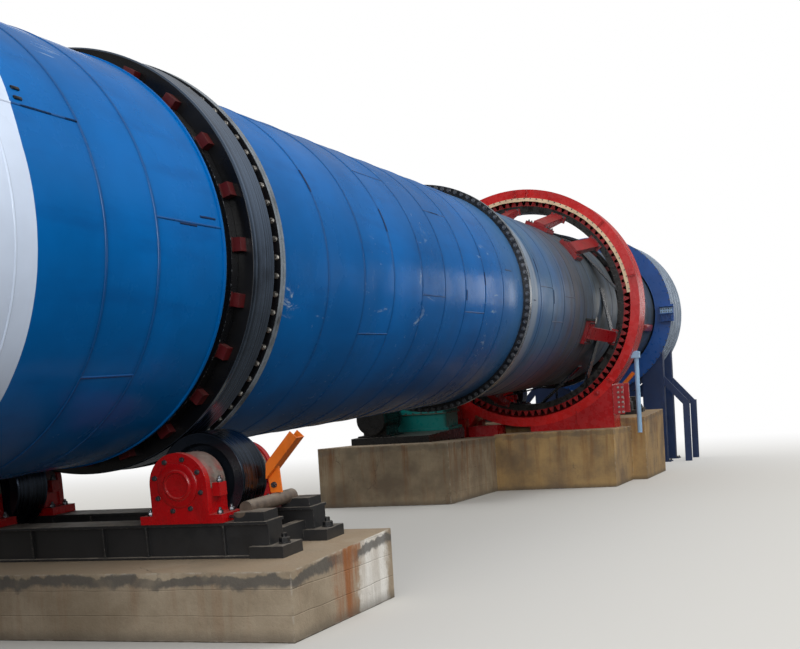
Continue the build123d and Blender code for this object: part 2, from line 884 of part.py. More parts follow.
# Pinion bearings: a pedestal on each side of the guard, the far one on the second pier
pedestal_near = guard_start - pedestal_near_gap - pedestal_length
pedestal_far = guard_end + pedestal_far_gap
gearbox_end = pinion_shaft_start - running_gap
gearbox_start = gearbox_end - gearbox_length
drive_top_drop = pinion_drop + gearbox_foot_drop
gearbox_middle = (gearbox_start + gearbox_end) / 2
drive_pier_top = height_of(gearbox_middle, -drive_top_drop) - drive_base_depth
drive_floor_height = drive_pier_top + seat_gap
drive_floor = Plane.XY.offset(drive_floor_height)
far_foot_drop = frame_bottom_drop - pinion_drop
with BuildPart() as pedestals:
    for start, foot_drop in ((pedestal_near, pedestal_foot_width), (pedestal_far, far_foot_drop)):
        with BuildSketch(across(start, pinion_side, -pinion_drop)):
            Circle(pedestal_radius)
            with Locations((0, -pedestal_radius)):
                Rectangle(2 * pedestal_radius, 2 * pedestal_radius)
            with Locations((0, -(pedestal_radius + foot_drop) / 2)):
                Rectangle(pedestal_foot_width, foot_drop - pedestal_radius)
            Circle(pinion_shaft_radius + bearing_play, mode=Mode.SUBTRACT)
        extrude(amount=pedestal_length)
    split(bisect_by=drive_floor, keep=Keep.TOP)
finish(pedestals.part, "pinion_bearings")

# Flange coupling on the pinion shaft, beside the gearbox
with BuildPart() as coupling:
    with BuildSketch(across(pinion_shaft_start, pinion_side, -pinion_drop)):
        Circle(coupling_radius)
        Circle(pinion_shaft_radius + bearing_play, mode=Mode.SUBTRACT)
    extrude(amount=coupling_length)
    with BuildSketch(across(pinion_shaft_start, pinion_side, -pinion_drop)):
        Circle(coupling_radius)
        Circle(coupling_radius - coupling_rim, mode=Mode.SUBTRACT)
    extrude(amount=coupling_length / 3, mode=Mode.SUBTRACT)
finish(coupling.part, "pinion_coupling")


# Drive base, gearbox, motor and the coupling between them
motor_end = gearbox_start - motor_gap
motor_start = motor_end - motor_length
gearbox_side = (gearbox_inner + gearbox_outer) / 2
gearbox_width = gearbox_outer - gearbox_inner


def pad_on_pier(first, last, top_drop, floor):
    """Outline in the world's XZ plane: a level bottom and a top that follows the drum."""
    low = at(first, 0, -top_drop)
    high = at(last, 0, -top_drop)
    return [(low.X, floor), (high.X, floor), (high.X, high.Z), (low.X, low.Z)]


base_start = motor_start - base_margin
with BuildPart() as base:
    with BuildSketch(Plane.XZ.offset(-gearbox_outer - base_margin)):
        with BuildLine():
            Polyline(
                *pad_on_pier(base_start, gearbox_end - base_margin, drive_top_drop, drive_floor_height),
                close=True)
        make_face()
    extrude(amount=gearbox_width + 2 * base_margin)
finish(base.part, "drive_base")

with BuildPart() as gearbox:
    with BuildSketch(deck(-drive_top_drop + seat_gap, gearbox_middle, gearbox_side)):
        Rectangle(gearbox_length, gearbox_width)
    extrude(amount=gearbox_foot_height)
    with BuildSketch(deck(-drive_top_drop + seat_gap, gearbox_middle, gearbox_side)):
        RectangleRounded(gearbox_length - gearbox_inset, gearbox_width - 2 * gearbox_inset, gearbox_inset)
    extrude(amount=gearbox_height)
    fillet(gearbox.faces().sort_by(Axis.Z)[-1].edges(), gearbox_round)
    with BuildSketch(deck(-pinion_drop - gearbox_seam_height / 2, gearbox_middle, gearbox_side)):
        Rectangle(gearbox_length - gearbox_seam_inset, gearbox_width - 2 * gearbox_seam_inset)
    extrude(amount=gearbox_seam_height)
    with BuildSketch(across(gearbox_end - gearbox_inset, pinion_side, -pinion_drop)):
        Circle(output_boss_radius)
    extrude(amount=gearbox_inset)
    with BuildSketch(across(gearbox_start, motor_side, -pinion_drop)):
        Circle(input_boss_radius)
    extrude(amount=gearbox_inset)
finish(gearbox.part, "gearbox")

motor_body_start = motor_start + motor_cowl_length
motor_body_length = motor_length - motor_cowl_length - motor_shield_length
motor_middle = (motor_start + motor_end) / 2
with BuildPart() as motor:
    with BuildSketch(across(motor_start, motor_side, -pinion_drop)):
        Circle(motor_radius)
    extrude(amount=motor_length)
    with BuildSketch(across(motor_body_start, motor_side, -pinion_drop - (gearbox_foot_drop - seat_gap) / 2)):
        Rectangle(motor_pedestal_width, gearbox_foot_drop - seat_gap)
    extrude(amount=motor_body_length)
    with BuildSketch(deck(-drive_top_drop + seat_gap, motor_middle, motor_side)):
        Rectangle(motor_length - 2 * motor_foot_inset, motor_foot_width)
    extrude(amount=motor_foot_height)
    with BuildSketch(deck(-pinion_drop, motor_middle, motor_side)):
        Rectangle(terminal_box_length, terminal_box_width)
    extrude(amount=motor_radius + terminal_box_rise)
finish(motor.part, "motor")

with BuildPart() as link:
    with BuildSketch(across(motor_end + seat_gap, motor_side, -pinion_drop)):
        Circle(link_hub_radius)
    extrude(amount=motor_gap - 2 * seat_gap)
    with BuildSketch(across(motor_end + (motor_gap - link_width) / 2, motor_side, -pinion_drop)):
        Circle(link_radius)
    extrude(amount=link_width)
finish(link.part, "motor_coupling")


# Foundations: the tops of the roller piers follow the drum
def roller_pier_outline(first, last):
    """Outline of a pier whose top carries a roller base frame."""
    return pad_on_pier(first, last, frame_bottom_drop + seat_gap, 0.0)


with BuildPart() as pier_1:
    with BuildSketch(Plane.XZ.offset(-pier_half_width)):
        with BuildLine():
            Polyline(*roller_pier_outline(pier_1_start, pier_1_end), close=True)
        make_face()
    extrude(amount=2 * pier_half_width)
finish(pier_1.part, "pier_1")

with BuildPart() as pier_2:
    with BuildSketch(Plane.XZ.offset(-pier_half_width)):
        with BuildLine():
            Polyline(*roller_pier_outline(pier_2_start, pier_2_end), close=True)
        make_face()
    extrude(amount=2 * pier_half_width)
    with BuildSketch():
        with Locations(((gear_pier_start + pier_2_end) / 2, (drive_pier_inner - gear_pier_side) / 2)):
            Rectangle(pier_2_end - gear_pier_start, drive_pier_inner + gear_pier_side)
    extrude(amount=pier_2_top)
finish(pier_2.part, "pier_2")

with BuildPart() as drive_pier:
    with BuildSketch():
        with Locations((
                (drive_pier_start + drive_pier_end) / 2,
                (drive_pier_inner + seat_gap + drive_pier_outer) / 2)):
            Rectangle(drive_pier_end - drive_pier_start, drive_pier_outer - drive_pier_inner - seat_gap)
    extrude(amount=drive_pier_top)
finish(drive_pier.part, "drive_pier")

# Grease tray under the guard, on the drive foundation
tray_x = drive_pier_end - tray_margin - tray_length / 2
with BuildPart() as tray:
    with BuildSketch(drive_floor):
        with Locations((tray_x, tray_side)):
            Rectangle(tray_length, tray_width)
    extrude(amount=tray_height)
    with BuildSketch(drive_floor.offset(tray_wall)):
        with Locations((tray_x, tray_side)):
            Rectangle(tray_length - 2 * tray_wall, tray_width - 2 * tray_wall)
    extrude(amount=tray_height, mode=Mode.SUBTRACT)
finish(tray.part, "grease_tray")


# Hoods at both drum ends: a face plate, a round wall and a back plate each
def hood(name, face, outward):
    """A drum-end hood whose face is at a station and whose back is further out."""
    opening = shell_radius + hood_opening_gap
    back = face + outward * hood_length
    inside_face = face + outward * hood_wall
    inside_back = back - outward * hood_wall
    rim = hood_radius + hood_lip
    turned(f"{name}_face", [(face, opening), (inside_face, opening), (inside_face, rim), (face, rim)])
    turned(f"{name}_wall", [
        (inside_face, hood_radius - hood_wall), (inside_back, hood_radius - hood_wall),
        (inside_back, hood_radius), (inside_face, hood_radius)])
    turned(f"{name}_back", [(inside_back, 0), (back, 0), (back, rim), (inside_back, rim)])


discharge_face = seal_ring_front - hood_gap_to_ring
hood("feed_hood", hood_face, 1)
hood("discharge_hood", discharge_face, -1)

# Hood frames: four legs whose tops follow the hood, with ties, braces and raking struts
def bar_outline(start, end, width):
    """Four corners of a flat bar between two points."""
    length = sqrt((end[0] - start[0]) ** 2 + (end[1] - start[1]) ** 2)
    off_x = (end[1] - start[1]) / length * width / 2
    off_y = -(end[0] - start[0]) / length * width / 2
    return [(start[0] + off_x, start[1] + off_y), (end[0] + off_x, end[1] + off_y),
            (end[0] - off_x, end[1] - off_y), (start[0] - off_x, start[1] - off_y)]


def hood_frame(name, face, outward):
    """The frame under a hood, standing on the floor."""
    near = face + outward * leg_inset
    far = face + outward * (hood_length - leg_inset)
    near_x = at(near, 0, -hood_radius).X
    far_x = at(far, 0, -hood_radius).X
    beam_drop = hood_radius + tie_gap + tie_depth / 2
    rise_near = height_of(near, 0) - height_of(hood_face, 0)
    with BuildPart() as frame:
        with BuildSketch():
            for x in (near_x, far_x):
                for hand in (-1, 1):
                    with Locations((x, hand * leg_side)):
                        Rectangle(leg_depth, leg_width)
        extrude(amount=height_of(far, -sqrt(hood_radius ** 2 - leg_side ** 2)) + leg_width)
        with BuildSketch():
            for x in (near_x, far_x):
                for hand in (-1, 1):
                    with Locations((x, hand * leg_side)):
                        Rectangle(leg_depth + 2 * foot_plate_margin, leg_width + 2 * foot_plate_margin)
        extrude(amount=foot_plate)
        for station, x in ((near, near_x), (far, far_x)):
            with BuildSketch(Plane.XY.offset(height_of(station, -beam_drop) - tie_depth / 2)):
                with Locations((x, 0)):
                    Rectangle(tie_depth, 2 * leg_side)
            extrude(amount=tie_depth)
            with BuildSketch(Plane((x - brace_thickness / 2, 0, 0), x_dir=(0, 1, 0), z_dir=(1, 0, 0))):
                for hand in (-1, 1):
                    top = (hand * leg_side, brace_top + rise_near)
                    low_end = (-hand * leg_side, brace_foot)
                    strut_end = (hand * strut_end_side, strut_end_height + rise_near)
                    with BuildLine():
                        Polyline(*bar_outline(top, low_end, brace_width), close=True)
                    make_face()
                    with BuildLine():
                        Polyline(*bar_outline(top, strut_end, brace_width), close=True)
                    make_face()
            extrude(amount=brace_thickness)
            with BuildSketch():
                with Locations((x, -strut_end_side), (x, strut_end_side)):
                    Rectangle(brace_width, brace_width)
            extrude(amount=strut_end_height + rise_near + brace_width / 2)
        with BuildSketch(Plane.XY.offset(height_of(near, -beam_drop) - tie_depth / 2)):
            for hand in (-1, 1):
                with Locations(((near_x + far_x) / 2, hand * leg_side)):
                    Rectangle(abs(far_x - near_x), tie_depth)
        extrude(amount=tie_depth)
        with BuildSketch(lengthwise()):
            with BuildLine():
                Polyline(
                    (face - outward * leg_width, 0), (face + outward * (hood_length + leg_width), 0),
                    (face + outward * (hood_length + leg_width), hood_radius + seat_gap),
                    (face - outward * leg_width, hood_radius + seat_gap), close=True)
            make_face()
        revolve(axis=drum_axis, mode=Mode.SUBTRACT)
    finish(frame.part, name)


hood_frame("feed_hood_frame", hood_face, 1)
hood_frame("discharge_hood_frame", discharge_face, -1)

# Inspection hatch on the edge of the feed hood's face
with BuildPart() as hatch:
    with BuildSketch(across(hood_face - hatch_depth, -hood_radius + hatch_inset, -hatch_drop)):
        Rectangle(hatch_width, hatch_height)
    extrude(amount=hatch_depth - seat_gap)
finish(hatch.part, "feed_hood_hatch")
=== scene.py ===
"""Looks of an inclined rotary drum dryer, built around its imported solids.

Stations run along the drum axis from the middle of the first riding ring, angles run
about that axis from the +Y side towards the top, and every length is in metres.
"""

import logging
from collections.abc import Sequence
from dataclasses import dataclass, field, replace
from enum import Enum
from math import atan, cos, pi, radians, sin, sqrt

import bpy
import numpy as np
from mathutils import Matrix, Vector


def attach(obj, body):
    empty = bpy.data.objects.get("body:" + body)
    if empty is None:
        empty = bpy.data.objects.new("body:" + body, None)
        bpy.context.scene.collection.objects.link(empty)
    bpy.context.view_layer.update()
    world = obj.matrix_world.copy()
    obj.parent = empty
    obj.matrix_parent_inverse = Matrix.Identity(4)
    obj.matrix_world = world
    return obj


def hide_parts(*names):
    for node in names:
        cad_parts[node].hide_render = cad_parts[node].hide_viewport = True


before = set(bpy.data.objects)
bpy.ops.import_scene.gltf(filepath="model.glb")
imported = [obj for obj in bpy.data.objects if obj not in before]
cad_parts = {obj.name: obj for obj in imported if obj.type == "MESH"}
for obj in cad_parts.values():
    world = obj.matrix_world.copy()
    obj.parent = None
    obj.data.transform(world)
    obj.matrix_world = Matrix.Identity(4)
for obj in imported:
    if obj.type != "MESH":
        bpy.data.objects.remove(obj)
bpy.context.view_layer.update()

Array = np.ndarray
Socket = bpy.types.NodeSocket
Material = bpy.types.Material
Object = bpy.types.Object

log = logging.getLogger("drum_dryer")


class Head(Enum):
    """How a fastener ends."""

    BOLT = "hexagon head on a washer"
    STUD = "nut on a stud"


class Hand(Enum):
    """The two sides of the drum axis, seen from the discharge end."""

    NEAR = -1.0
    FAR = 1.0


# How much of the white backdrop shows in gloss; all of it washes dark enamel out
MIRRORED_SHARE = 0.08
WHITE = (1.0, 1.0, 1.0, 1.0)


# Frames


@dataclass(frozen=True)
class TurningFrame:
    """A straight axis in the row frame, with its stations, angles and radii."""

    origin: tuple[float, float, float] = (0.0, 0.0, 3.07)
    slope: float = 0.05

    @property
    def along(self) -> Array:
        """Unit vector of the axis, rising towards the feed end."""
        tilt = atan(self.slope)
        return np.array([cos(tilt), 0.0, sin(tilt)])

    @property
    def up(self) -> Array:
        """Unit vector square to the axis, in the upright plane."""
        tilt = atan(self.slope)
        return np.array([-sin(tilt), 0.0, cos(tilt)])

    def world(self, station: Array | float, side: Array | float, rise: Array | float) -> Array:
        """Row-frame points from stations, sides and rises: origin + s along + y side + z up.

        Args:
            station: distance along the axis.
            side: distance towards +Y.
            rise: distance above the axis.

        Returns:
            Points with a last axis of length 3.
        """
        values = (np.asarray(value, float) for value in (station, side, rise))
        station, side, rise = np.broadcast_arrays(*values)
        return (np.array(self.origin) + station[..., None] * self.along
                + side[..., None] * np.array([0.0, 1.0, 0.0]) + rise[..., None] * self.up)

    def polar(self, station: Array | float, radius: Array | float, angle: Array | float) -> Array:
        """Row-frame points on circles: side = r cos a, rise = r sin a.

        Args:
            station: distance along the axis.
            radius: distance from the axis.
            angle: angle from +Y towards the top, in radians.

        Returns:
            Points with a last axis of length 3.
        """
        radius = np.asarray(radius)
        return self.world(station, radius * np.cos(angle), radius * np.sin(angle))

    def mounts(self, station: Array | float, radius: Array | float, angle: Array | float) -> Array:
        """Frames standing on a circle: x along the axis, y round it and z outwards.

        Args:
            station: distance along the axis.
            radius: distance from the axis.
            angle: angle from +Y towards the top, in radians.

        Returns:
            Matrices of shape (n, 4, 4).
        """
        station, radius, angle = (np.atleast_1d(v).astype(float)
                                  for v in np.broadcast_arrays(station, radius, angle))
        frames = np.zeros((len(angle), 4, 4))
        outward = self.polar(0.0, 1.0, angle) - self.polar(0.0, 0.0, angle)
        frames[:, :3, 0] = self.along
        frames[:, :3, 1] = np.cross(outward, self.along)
        frames[:, :3, 2] = outward
        frames[:, :3, 3] = self.polar(station, radius, angle)
        frames[:, 3, 3] = 1.0
        return frames


def facing(points: Array | list[Array], outward: Array, along: Array) -> Array:
    """Frames at points whose z looks outward and whose x lies along a direction.

    Args:
        points: origins, shape (n, 3), or a list of such arrays and single points.
        outward: one direction or one for each point.
        along: a direction that x follows, square to outward.

    Returns:
        Matrices of shape (n, 4, 4).
    """
    if isinstance(points, list):
        points = np.vstack([np.atleast_2d(part) for part in points])
    points = np.atleast_2d(points)
    z = np.broadcast_to(np.asarray(outward, float), points.shape)
    z = z / np.linalg.norm(z, axis=1, keepdims=True)
    x = np.broadcast_to(np.asarray(along, float), points.shape)
    x = x - (x * z).sum(axis=1, keepdims=True) * z
    x = x / np.linalg.norm(x, axis=1, keepdims=True)
    frames = np.zeros((len(points), 4, 4))
    frames[:, :3, 0] = x
    frames[:, :3, 1] = np.cross(z, x)
    frames[:, :3, 2] = z
    frames[:, :3, 3] = points
    frames[:, 3, 3] = 1.0
    return frames


DRUM = TurningFrame()


# Shapes


@dataclass
class Shape:
    """Points with groups of faces, each group an index array of one corner count."""

    points: Array
    groups: list[Array]

    def stamped(self, frames: Array) -> "Shape":
        """Copies of the shape, one in each frame: p' = frame times p.

        Args:
            frames: matrices of shape (n, 4, 4).

        Returns:
            One shape with every copy.
        """
        count = len(self.points)
        points = np.einsum("nij,kj->nki", frames[:, :3, :3], self.points) + frames[:, None, :3, 3]
        shift = (np.arange(len(frames)) * count)[:, None, None]
        groups = [(group[None] + shift).reshape(-1, group.shape[1]) for group in self.groups]
        return Shape(points.reshape(-1, 3), groups)

    def __add__(self, other: "Shape") -> "Shape":
        """Both shapes as one."""
        moved = [group + len(self.points) for group in other.groups]
        return Shape(np.vstack([self.points, other.points]), self.groups + moved)


def joined(shapes: list[Shape]) -> Shape:
    """All shapes of a list as one.

    Args:
        shapes: one shape or more.

    Returns:
        Their points and faces together.
    """
    total = shapes[0]
    for shape in shapes[1:]:
        total = total + shape
    return total


def grid_quads(rows: int, columns: int, wrap_rows: bool) -> Array:
    """Quads of a grid of points that closes round its columns.

    Args:
        rows: number of rows.
        columns: number of points in a row.
        wrap_rows: whether the last row joins the first.

    Returns:
        Corner indices, shape (n, 4).
    """
    row, column = np.meshgrid(np.arange(rows if wrap_rows else rows - 1), np.arange(columns),
                              indexing="ij")
    below, beside = (row + 1) % rows, (column + 1) % columns
    corners = [row * columns + column, row * columns + beside,
               below * columns + beside, below * columns + column]
    return np.stack(corners, axis=-1).reshape(-1, 4)


def loft(rows: Array, wrap: bool = False) -> Shape:
    """A closed profile carried along a path: rows[i, j] is point j of profile i.

    Args:
        rows: points, shape (rows, columns, 3).
        wrap: whether the path closes on itself, otherwise flat caps close both ends.

    Returns:
        The closed shape.
    """
    count, columns = rows.shape[:2]
    groups = [grid_quads(count, columns, wrap)]
    if not wrap:
        first = np.arange(columns)[::-1]
        last = np.arange(columns) + (count - 1) * columns
        groups += [first[None], last[None]]
    return Shape(rows.reshape(-1, 3), groups)


def circle(radius: Array | float, sides: int, phase: float = 0.0) -> Array:
    """Points of regular outlines: (r cos t, r sin t), one outline for each radius.

    Args:
        radius: one radius or several.
        sides: corners of an outline.
        phase: angle of the first corner.

    Returns:
        Points of shape (radii, sides, 2).
    """
    turn = np.arange(sides) * 2 * pi / sides + phase
    radius = np.atleast_1d(radius)[:, None]
    return np.stack([radius * np.cos(turn), radius * np.sin(turn)], axis=-1)


def turned(profile: Sequence[tuple[float, float]], sides: int, phase: float = 0.0) -> Shape:
    """A solid turned about z: each (height, radius) of the profile is a ring.

    Args:
        profile: heights and radii from one flat end to the other.
        sides: points round the shape.
        phase: angle of the first point.

    Returns:
        The closed shape.
    """
    heights, radii = np.array(profile).T
    rings = circle(radii, sides, phase)
    rows = np.concatenate([rings, np.broadcast_to(heights[:, None, None], (*rings.shape[:2], 1))],
                          axis=2)
    return loft(rows)


def block(length: float, width: float, height: float, edge: float) -> Shape:
    """A box with cut edges on z = 0 to height, as an eight-sided outline lofted upwards.

    Args:
        length: size along x.
        width: size along y.
        height: size along z.
        edge: size of the cut edges.

    Returns:
        The closed shape.
    """
    rows = []
    for z, inset in ((0.0, edge), (edge, 0.0), (height - edge, 0.0), (height, edge)):
        a, b = length / 2 - inset, width / 2 - inset
        outline = [(a - edge, -b), (a, -b + edge), (a, b - edge), (a - edge, b),
                   (-a + edge, b), (-a, b - edge), (-a, -b + edge), (-a + edge, -b)]
        rows.append([(x, y, z) for x, y in outline])
    return loft(np.array(rows))


@dataclass(frozen=True)
class Fastener:
    """A washer and a hexagon whose top corners are cut, with a stud's end on request."""

    flats: float
    height: float
    head: Head = Head.BOLT

    def shape(self) -> Shape:
        """Turned washer, hexagon and stud, in shares of the flats and the height.

        Returns:
            The fastener, standing on z = 0.
        """
        flats, height = self.flats, self.height
        corner = flats / sqrt(3)
        parts = [turned([(-0.001, flats * 0.64), (height * 0.18, flats * 0.64)], 12),
                 turned([(height * 0.12, corner), (height * 0.85, corner), (height, corner * 0.84)],
                        6)]
        if self.head is Head.STUD:
            parts.append(turned([(height * 0.9, flats * 0.3), (height * 1.6, flats * 0.3),
                                 (height * 1.7, flats * 0.24)], 8))
        return joined(parts)

    def at(self, points: Array | list[Array], outward: Array, along: Array) -> Shape:
        """Copies at points, their heads looking outward and turned to a direction."""
        return self.shape().stamped(facing(points, outward, along))


def plate(station: tuple[float, float], side: tuple[float, float], rise: tuple[float, float],
          edge: float = 0.003) -> Shape:
    """A block between two stations, sides and rises: the plain block stamped at its foot.

    Args:
        station: first and last station.
        side: first and last side.
        rise: first and last rise.
        edge: size of the cut edges.

    Returns:
        The closed shape.
    """
    foot = DRUM.world(sum(station) / 2, sum(side) / 2, min(rise))
    size = [abs(last - first) for first, last in (station, side, rise)]
    return block(*size, edge).stamped(facing(foot, DRUM.up, DRUM.along))


def ring_solid(turning: TurningFrame, profile: Sequence[tuple[float, float]], sides: int,
               start: float = 0.0, stop: float = 2 * pi) -> Shape:
    """A profile of (station, radius) carried round an axis: p = polar(s, r, t).

    Args:
        turning: the axis.
        profile: corners of the closed profile.
        sides: steps round the axis.
        start: first angle.
        stop: last angle, a full turn later for a closed ring.

    Returns:
        The closed shape.
    """
    stations, radii = np.array(profile).T
    whole = abs(stop - start - 2 * pi) < 1e-9
    turn = start + (stop - start) * np.arange(sides if whole else sides + 1) / sides
    return loft(turning.polar(stations[None, :], radii[None, :], turn[:, None]), wrap=whole)


def sweep(path: Array, outline: Array, up: Array) -> Shape:
    """An outline carried along a path: p = path + u side + v up, with flat ends.

    Args:
        path: points, shape (n, 3).
        outline: profile points (u, v), shape (m, 2).
        up: the direction of v before it is squared to the path.

    Returns:
        The closed shape.
    """
    tangent = np.gradient(path, axis=0)
    tangent /= np.linalg.norm(tangent, axis=1, keepdims=True)
    side = np.cross(tangent, np.broadcast_to(up, tangent.shape))
    side /= np.linalg.norm(side, axis=1, keepdims=True)
    lift = np.cross(side, tangent)
    across, over = outline[None, :, :1], outline[None, :, 1:]
    return loft(path[:, None] + across * side[:, None] + over * lift[:, None])


def signed_volume(shape: Shape) -> float:
    """Volume by the divergence rule: a sixth of the sum of a . (b x c) over fans of each face.

    Args:
        shape: a closed shape.

    Returns:
        Its volume, negative if it is inside out.
    """
    total = 0.0
    for group in shape.groups:
        first = shape.points[group[:, 0]]
        for k in range(1, group.shape[1] - 1):
            across = np.cross(shape.points[group[:, k]], shape.points[group[:, k + 1]])
            total += np.einsum("ij,ij->", first, across)
    return total / 6.0


# Finishes


def linear(code: str) -> tuple[float, float, float, float]:
    """An sRGB hex code as linear red, green, blue and alpha.

    Args:
        code: a hash sign and six hex digits.

    Returns:
        Linear values from 0 to 1, with an alpha of 1.
    """
    values = np.array([int(code[i:i + 2], 16) for i in (1, 3, 5)]) / 255.0
    values = np.where(values <= 0.04045, values / 12.92, ((values + 0.055) / 1.055) ** 2.4)
    return (*values.tolist(), 1.0)


@dataclass(frozen=True)
class NodeKind:
    """A shader node's type, the order of its inputs, the output that is read and its settings."""

    type: str
    order: tuple[str | int, ...] = (0, 1, 2)
    output: str | int = 0
    settings: dict[str, object] = field(default_factory=dict)
    usual: dict[str, float] = field(default_factory=dict)


PLUS, MINUS, TIMES, LARGER, SIZE, BELOW, ABOVE, SCALED = (
    NodeKind("Math", settings={"operation": operation})
    for operation in ("ADD", "SUBTRACT", "MULTIPLY", "MAXIMUM", "ABSOLUTE", "LESS_THAN",
                      "GREATER_THAN", "MULTIPLY_ADD"))
AWAY, STRETCH, CROSS, DRIFT = (
    NodeKind("VectorMath", settings={"operation": operation})
    for operation in ("SUBTRACT", "MULTIPLY", "CROSS_PRODUCT", "MULTIPLY_ADD"))
DOT, LENGTH, DISTANCE = (
    NodeKind("VectorMath", output="Value", settings={"operation": operation})
    for operation in ("DOT_PRODUCT", "LENGTH", "DISTANCE"))
NOISE = NodeKind("TexNoise", ("Scale", "Detail", "Roughness", "Vector", "Distortion"), "Fac",
                 usual={"Detail": 4.0, "Roughness": 0.55})
WANDER = NodeKind("TexNoise", ("Scale", "Detail", "Vector"), "Color")
CELLS = NodeKind("TexVoronoi", ("Scale", "Vector"), "Distance", {"feature": "DISTANCE_TO_EDGE"})
BOARDS = NodeKind("TexWave", ("Scale", "Distortion", "Detail", "Vector"), "Fac",
                  {"bands_direction": "Z", "wave_profile": "TRI"})
STEP = NodeKind("MapRange", ("Value", "From Min", "From Max", "To Min", "To Max"), "Result",
                {"interpolation_type": "SMOOTHSTEP"})
RANGE = NodeKind("MapRange", ("Value", "To Min", "To Max"), "Result")
MIX = NodeKind("Mix", (0, 6, 7), 2, {"data_type": "RGBA"})
SHADE = NodeKind("HueSaturation", ("Color", "Value"), "Color")
BUMP = NodeKind("Bump", ("Height", "Distance", "Strength", "Normal"), "Normal")
BEVEL = NodeKind("Bevel", ("Radius",), "Normal", {"samples": 4})
NORMAL = NodeKind("NewGeometry", output="Normal")
SPLIT = NodeKind("SeparateXYZ", output="Z")
JOIN = NodeKind("CombineXYZ")
# reads the weld attribute: how much rub marks and painted shade darken the enamel at welds
WELD_RUB_AND_SHADE = NodeKind("Attribute", output="Fac", settings={"attribute_name": "weld"})
RAY = NodeKind("LightPath")
GLOW = NodeKind("Emission", ("Color", "Strength"))
BLEND = NodeKind("MixShader")


@dataclass
class Painter:
    """The node tree of one material or world, with ways to build patterns."""

    tree: bpy.types.NodeTree
    coordinates: str = "Object"
    place: Socket = field(init=False)

    def __post_init__(self) -> None:
        """Takes the coordinates as the place on the piece."""
        self.place = self.add(NodeKind("TexCoord", output=self.coordinates))

    def add(self, kind: NodeKind, *values: Socket | float | tuple | str, output: str = "",
            **settings: object) -> Socket:
        """Adds a node of a kind, sets its properties and sets or links its inputs.

        Args:
            kind: the kind of node.
            values: numbers, sockets or hex colours, in the kind's order of inputs.
            output: an output other than the kind's own.
            settings: properties besides the kind's own.

        Returns:
            The node's output; a pattern without a vector reads the place.
        """
        node = self.tree.nodes.new("ShaderNode" + kind.type)
        for key, value in {**kind.settings, **settings}.items():
            setattr(node, key, value)
        inputs = {**kind.usual, **dict(zip(kind.order, values))}
        if "Vector" in kind.order:
            inputs.setdefault("Vector", self.place)
        for key, value in inputs.items():
            self.feed(node.inputs[key], value)
        return node.outputs[output or kind.output]

    def feed(self, socket: Socket, value: Socket | float | tuple | str) -> None:
        """Links or sets a socket.

        Args:
            socket: the input.
            value: an output to link, a number, a tuple or a hex colour.
        """
        if isinstance(value, Socket):
            self.tree.links.new(value, socket)
        else:
            socket.default_value = linear(value) if isinstance(value, str) else value

    def product(self, *parts: Socket | float) -> Socket:
        """All patterns multiplied.

        Args:
            parts: patterns and numbers, a pattern first.

        Returns:
            Their product.
        """
        total = parts[0]
        for part in parts[1:]:
            total = self.add(TIMES, total, part)
        return total

    def patches(self, levels: tuple[float, ...], *grain: Socket | float) -> Socket:
        """Noise stepped between two levels, from a start to an end if those are given."""
        return self.add(STEP, self.add(NOISE, *grain), *levels)

    def band(self, value: Socket, span: tuple[float, float, float, float]) -> Socket:
        """One inside a span: it steps up over the first two numbers and down over the last."""
        return self.add(TIMES, self.add(STEP, value, *span[:2]),
                        self.add(STEP, value, *span[2:], 1.0, 0.0))

    def layered(self, colour: Socket, *layers: tuple[Socket, Socket | str]) -> Socket:
        """A colour with further colours laid over it.

        Args:
            colour: the ground.
            layers: amount and colour of each layer, the lowest first.

        Returns:
            The colour seen.
        """
        for amount, over in layers:
            colour = self.add(MIX, amount, colour, over)
        return colour

    def tint(self, colour: Socket | str, amount: Socket, darkest: float, lightest: float) -> Socket:
        """A colour made darker or lighter by a pattern."""
        return self.add(SHADE, colour, self.add(STEP, amount, 0.3, 0.7, darkest, lightest))

    def station(self) -> Socket:
        """Distance along the drum axis."""
        return self.add(DOT, self.add(AWAY, self.place, DRUM.origin), tuple(DRUM.along))

    def radius(self, turning: TurningFrame = DRUM, mirrored: bool = False) -> Socket:
        """Distance from an axis: the length of (p - origin) x axis.

        Args:
            turning: the axis.
            mirrored: whether the axis has a mirror image on the other side of the drum.

        Returns:
            Metres.
        """
        place = self.place
        if mirrored:
            x, y, z = (self.add(SPLIT, place, output=letter) for letter in "XYZ")
            place = self.add(JOIN, x, self.add(SIZE, y), z)
        away = self.add(AWAY, place, turning.origin)
        return self.add(LENGTH, self.add(CROSS, away, tuple(turning.along)))

    def rise(self) -> Socket:
        """How much the surface looks up, from -1 to 1."""
        return self.add(SPLIT, self.add(NORMAL))

    def height(self) -> Socket:
        """Height above the ground."""
        return self.add(SPLIT, self.place)

    def worn(self, radius: float, sharpness: float) -> Socket:
        """Where edges are rubbed: how far the rounded normal leaves the flat one."""
        likeness = self.add(DOT, self.add(BEVEL, radius), self.add(NORMAL))
        return self.add(STEP, likeness, 1.0 - sharpness, 1.0, 1.0, 0.0)

    def surface(self, **inputs: Socket | float | str) -> None:
        """Feeds the material's shader.

        Args:
            inputs: values by input name, with underscores for spaces.
        """
        shader = self.tree.nodes["Principled BSDF"]
        for key, value in inputs.items():
            self.feed(shader.inputs[key.replace("_", " ")], value)


@dataclass(frozen=True)
class Finish:
    """A real surface: what it is, its record slot and its colour."""

    title: str
    slot: str
    colour: str

    def material(self) -> Material:
        """The material of this finish, made at its first use.

        Returns:
            The material with its node tree filled.
        """
        known = bpy.data.materials.get(self.title)
        if known is not None:
            return known
        made = bpy.data.materials.new(self.title)
        made.use_nodes = True
        self.paint(Painter(made.node_tree))
        return made

    def paint(self, on: Painter) -> None:
        """Fills the node tree.

        Args:
            on: the painter of the material's nodes.
        """
        raise NotImplementedError


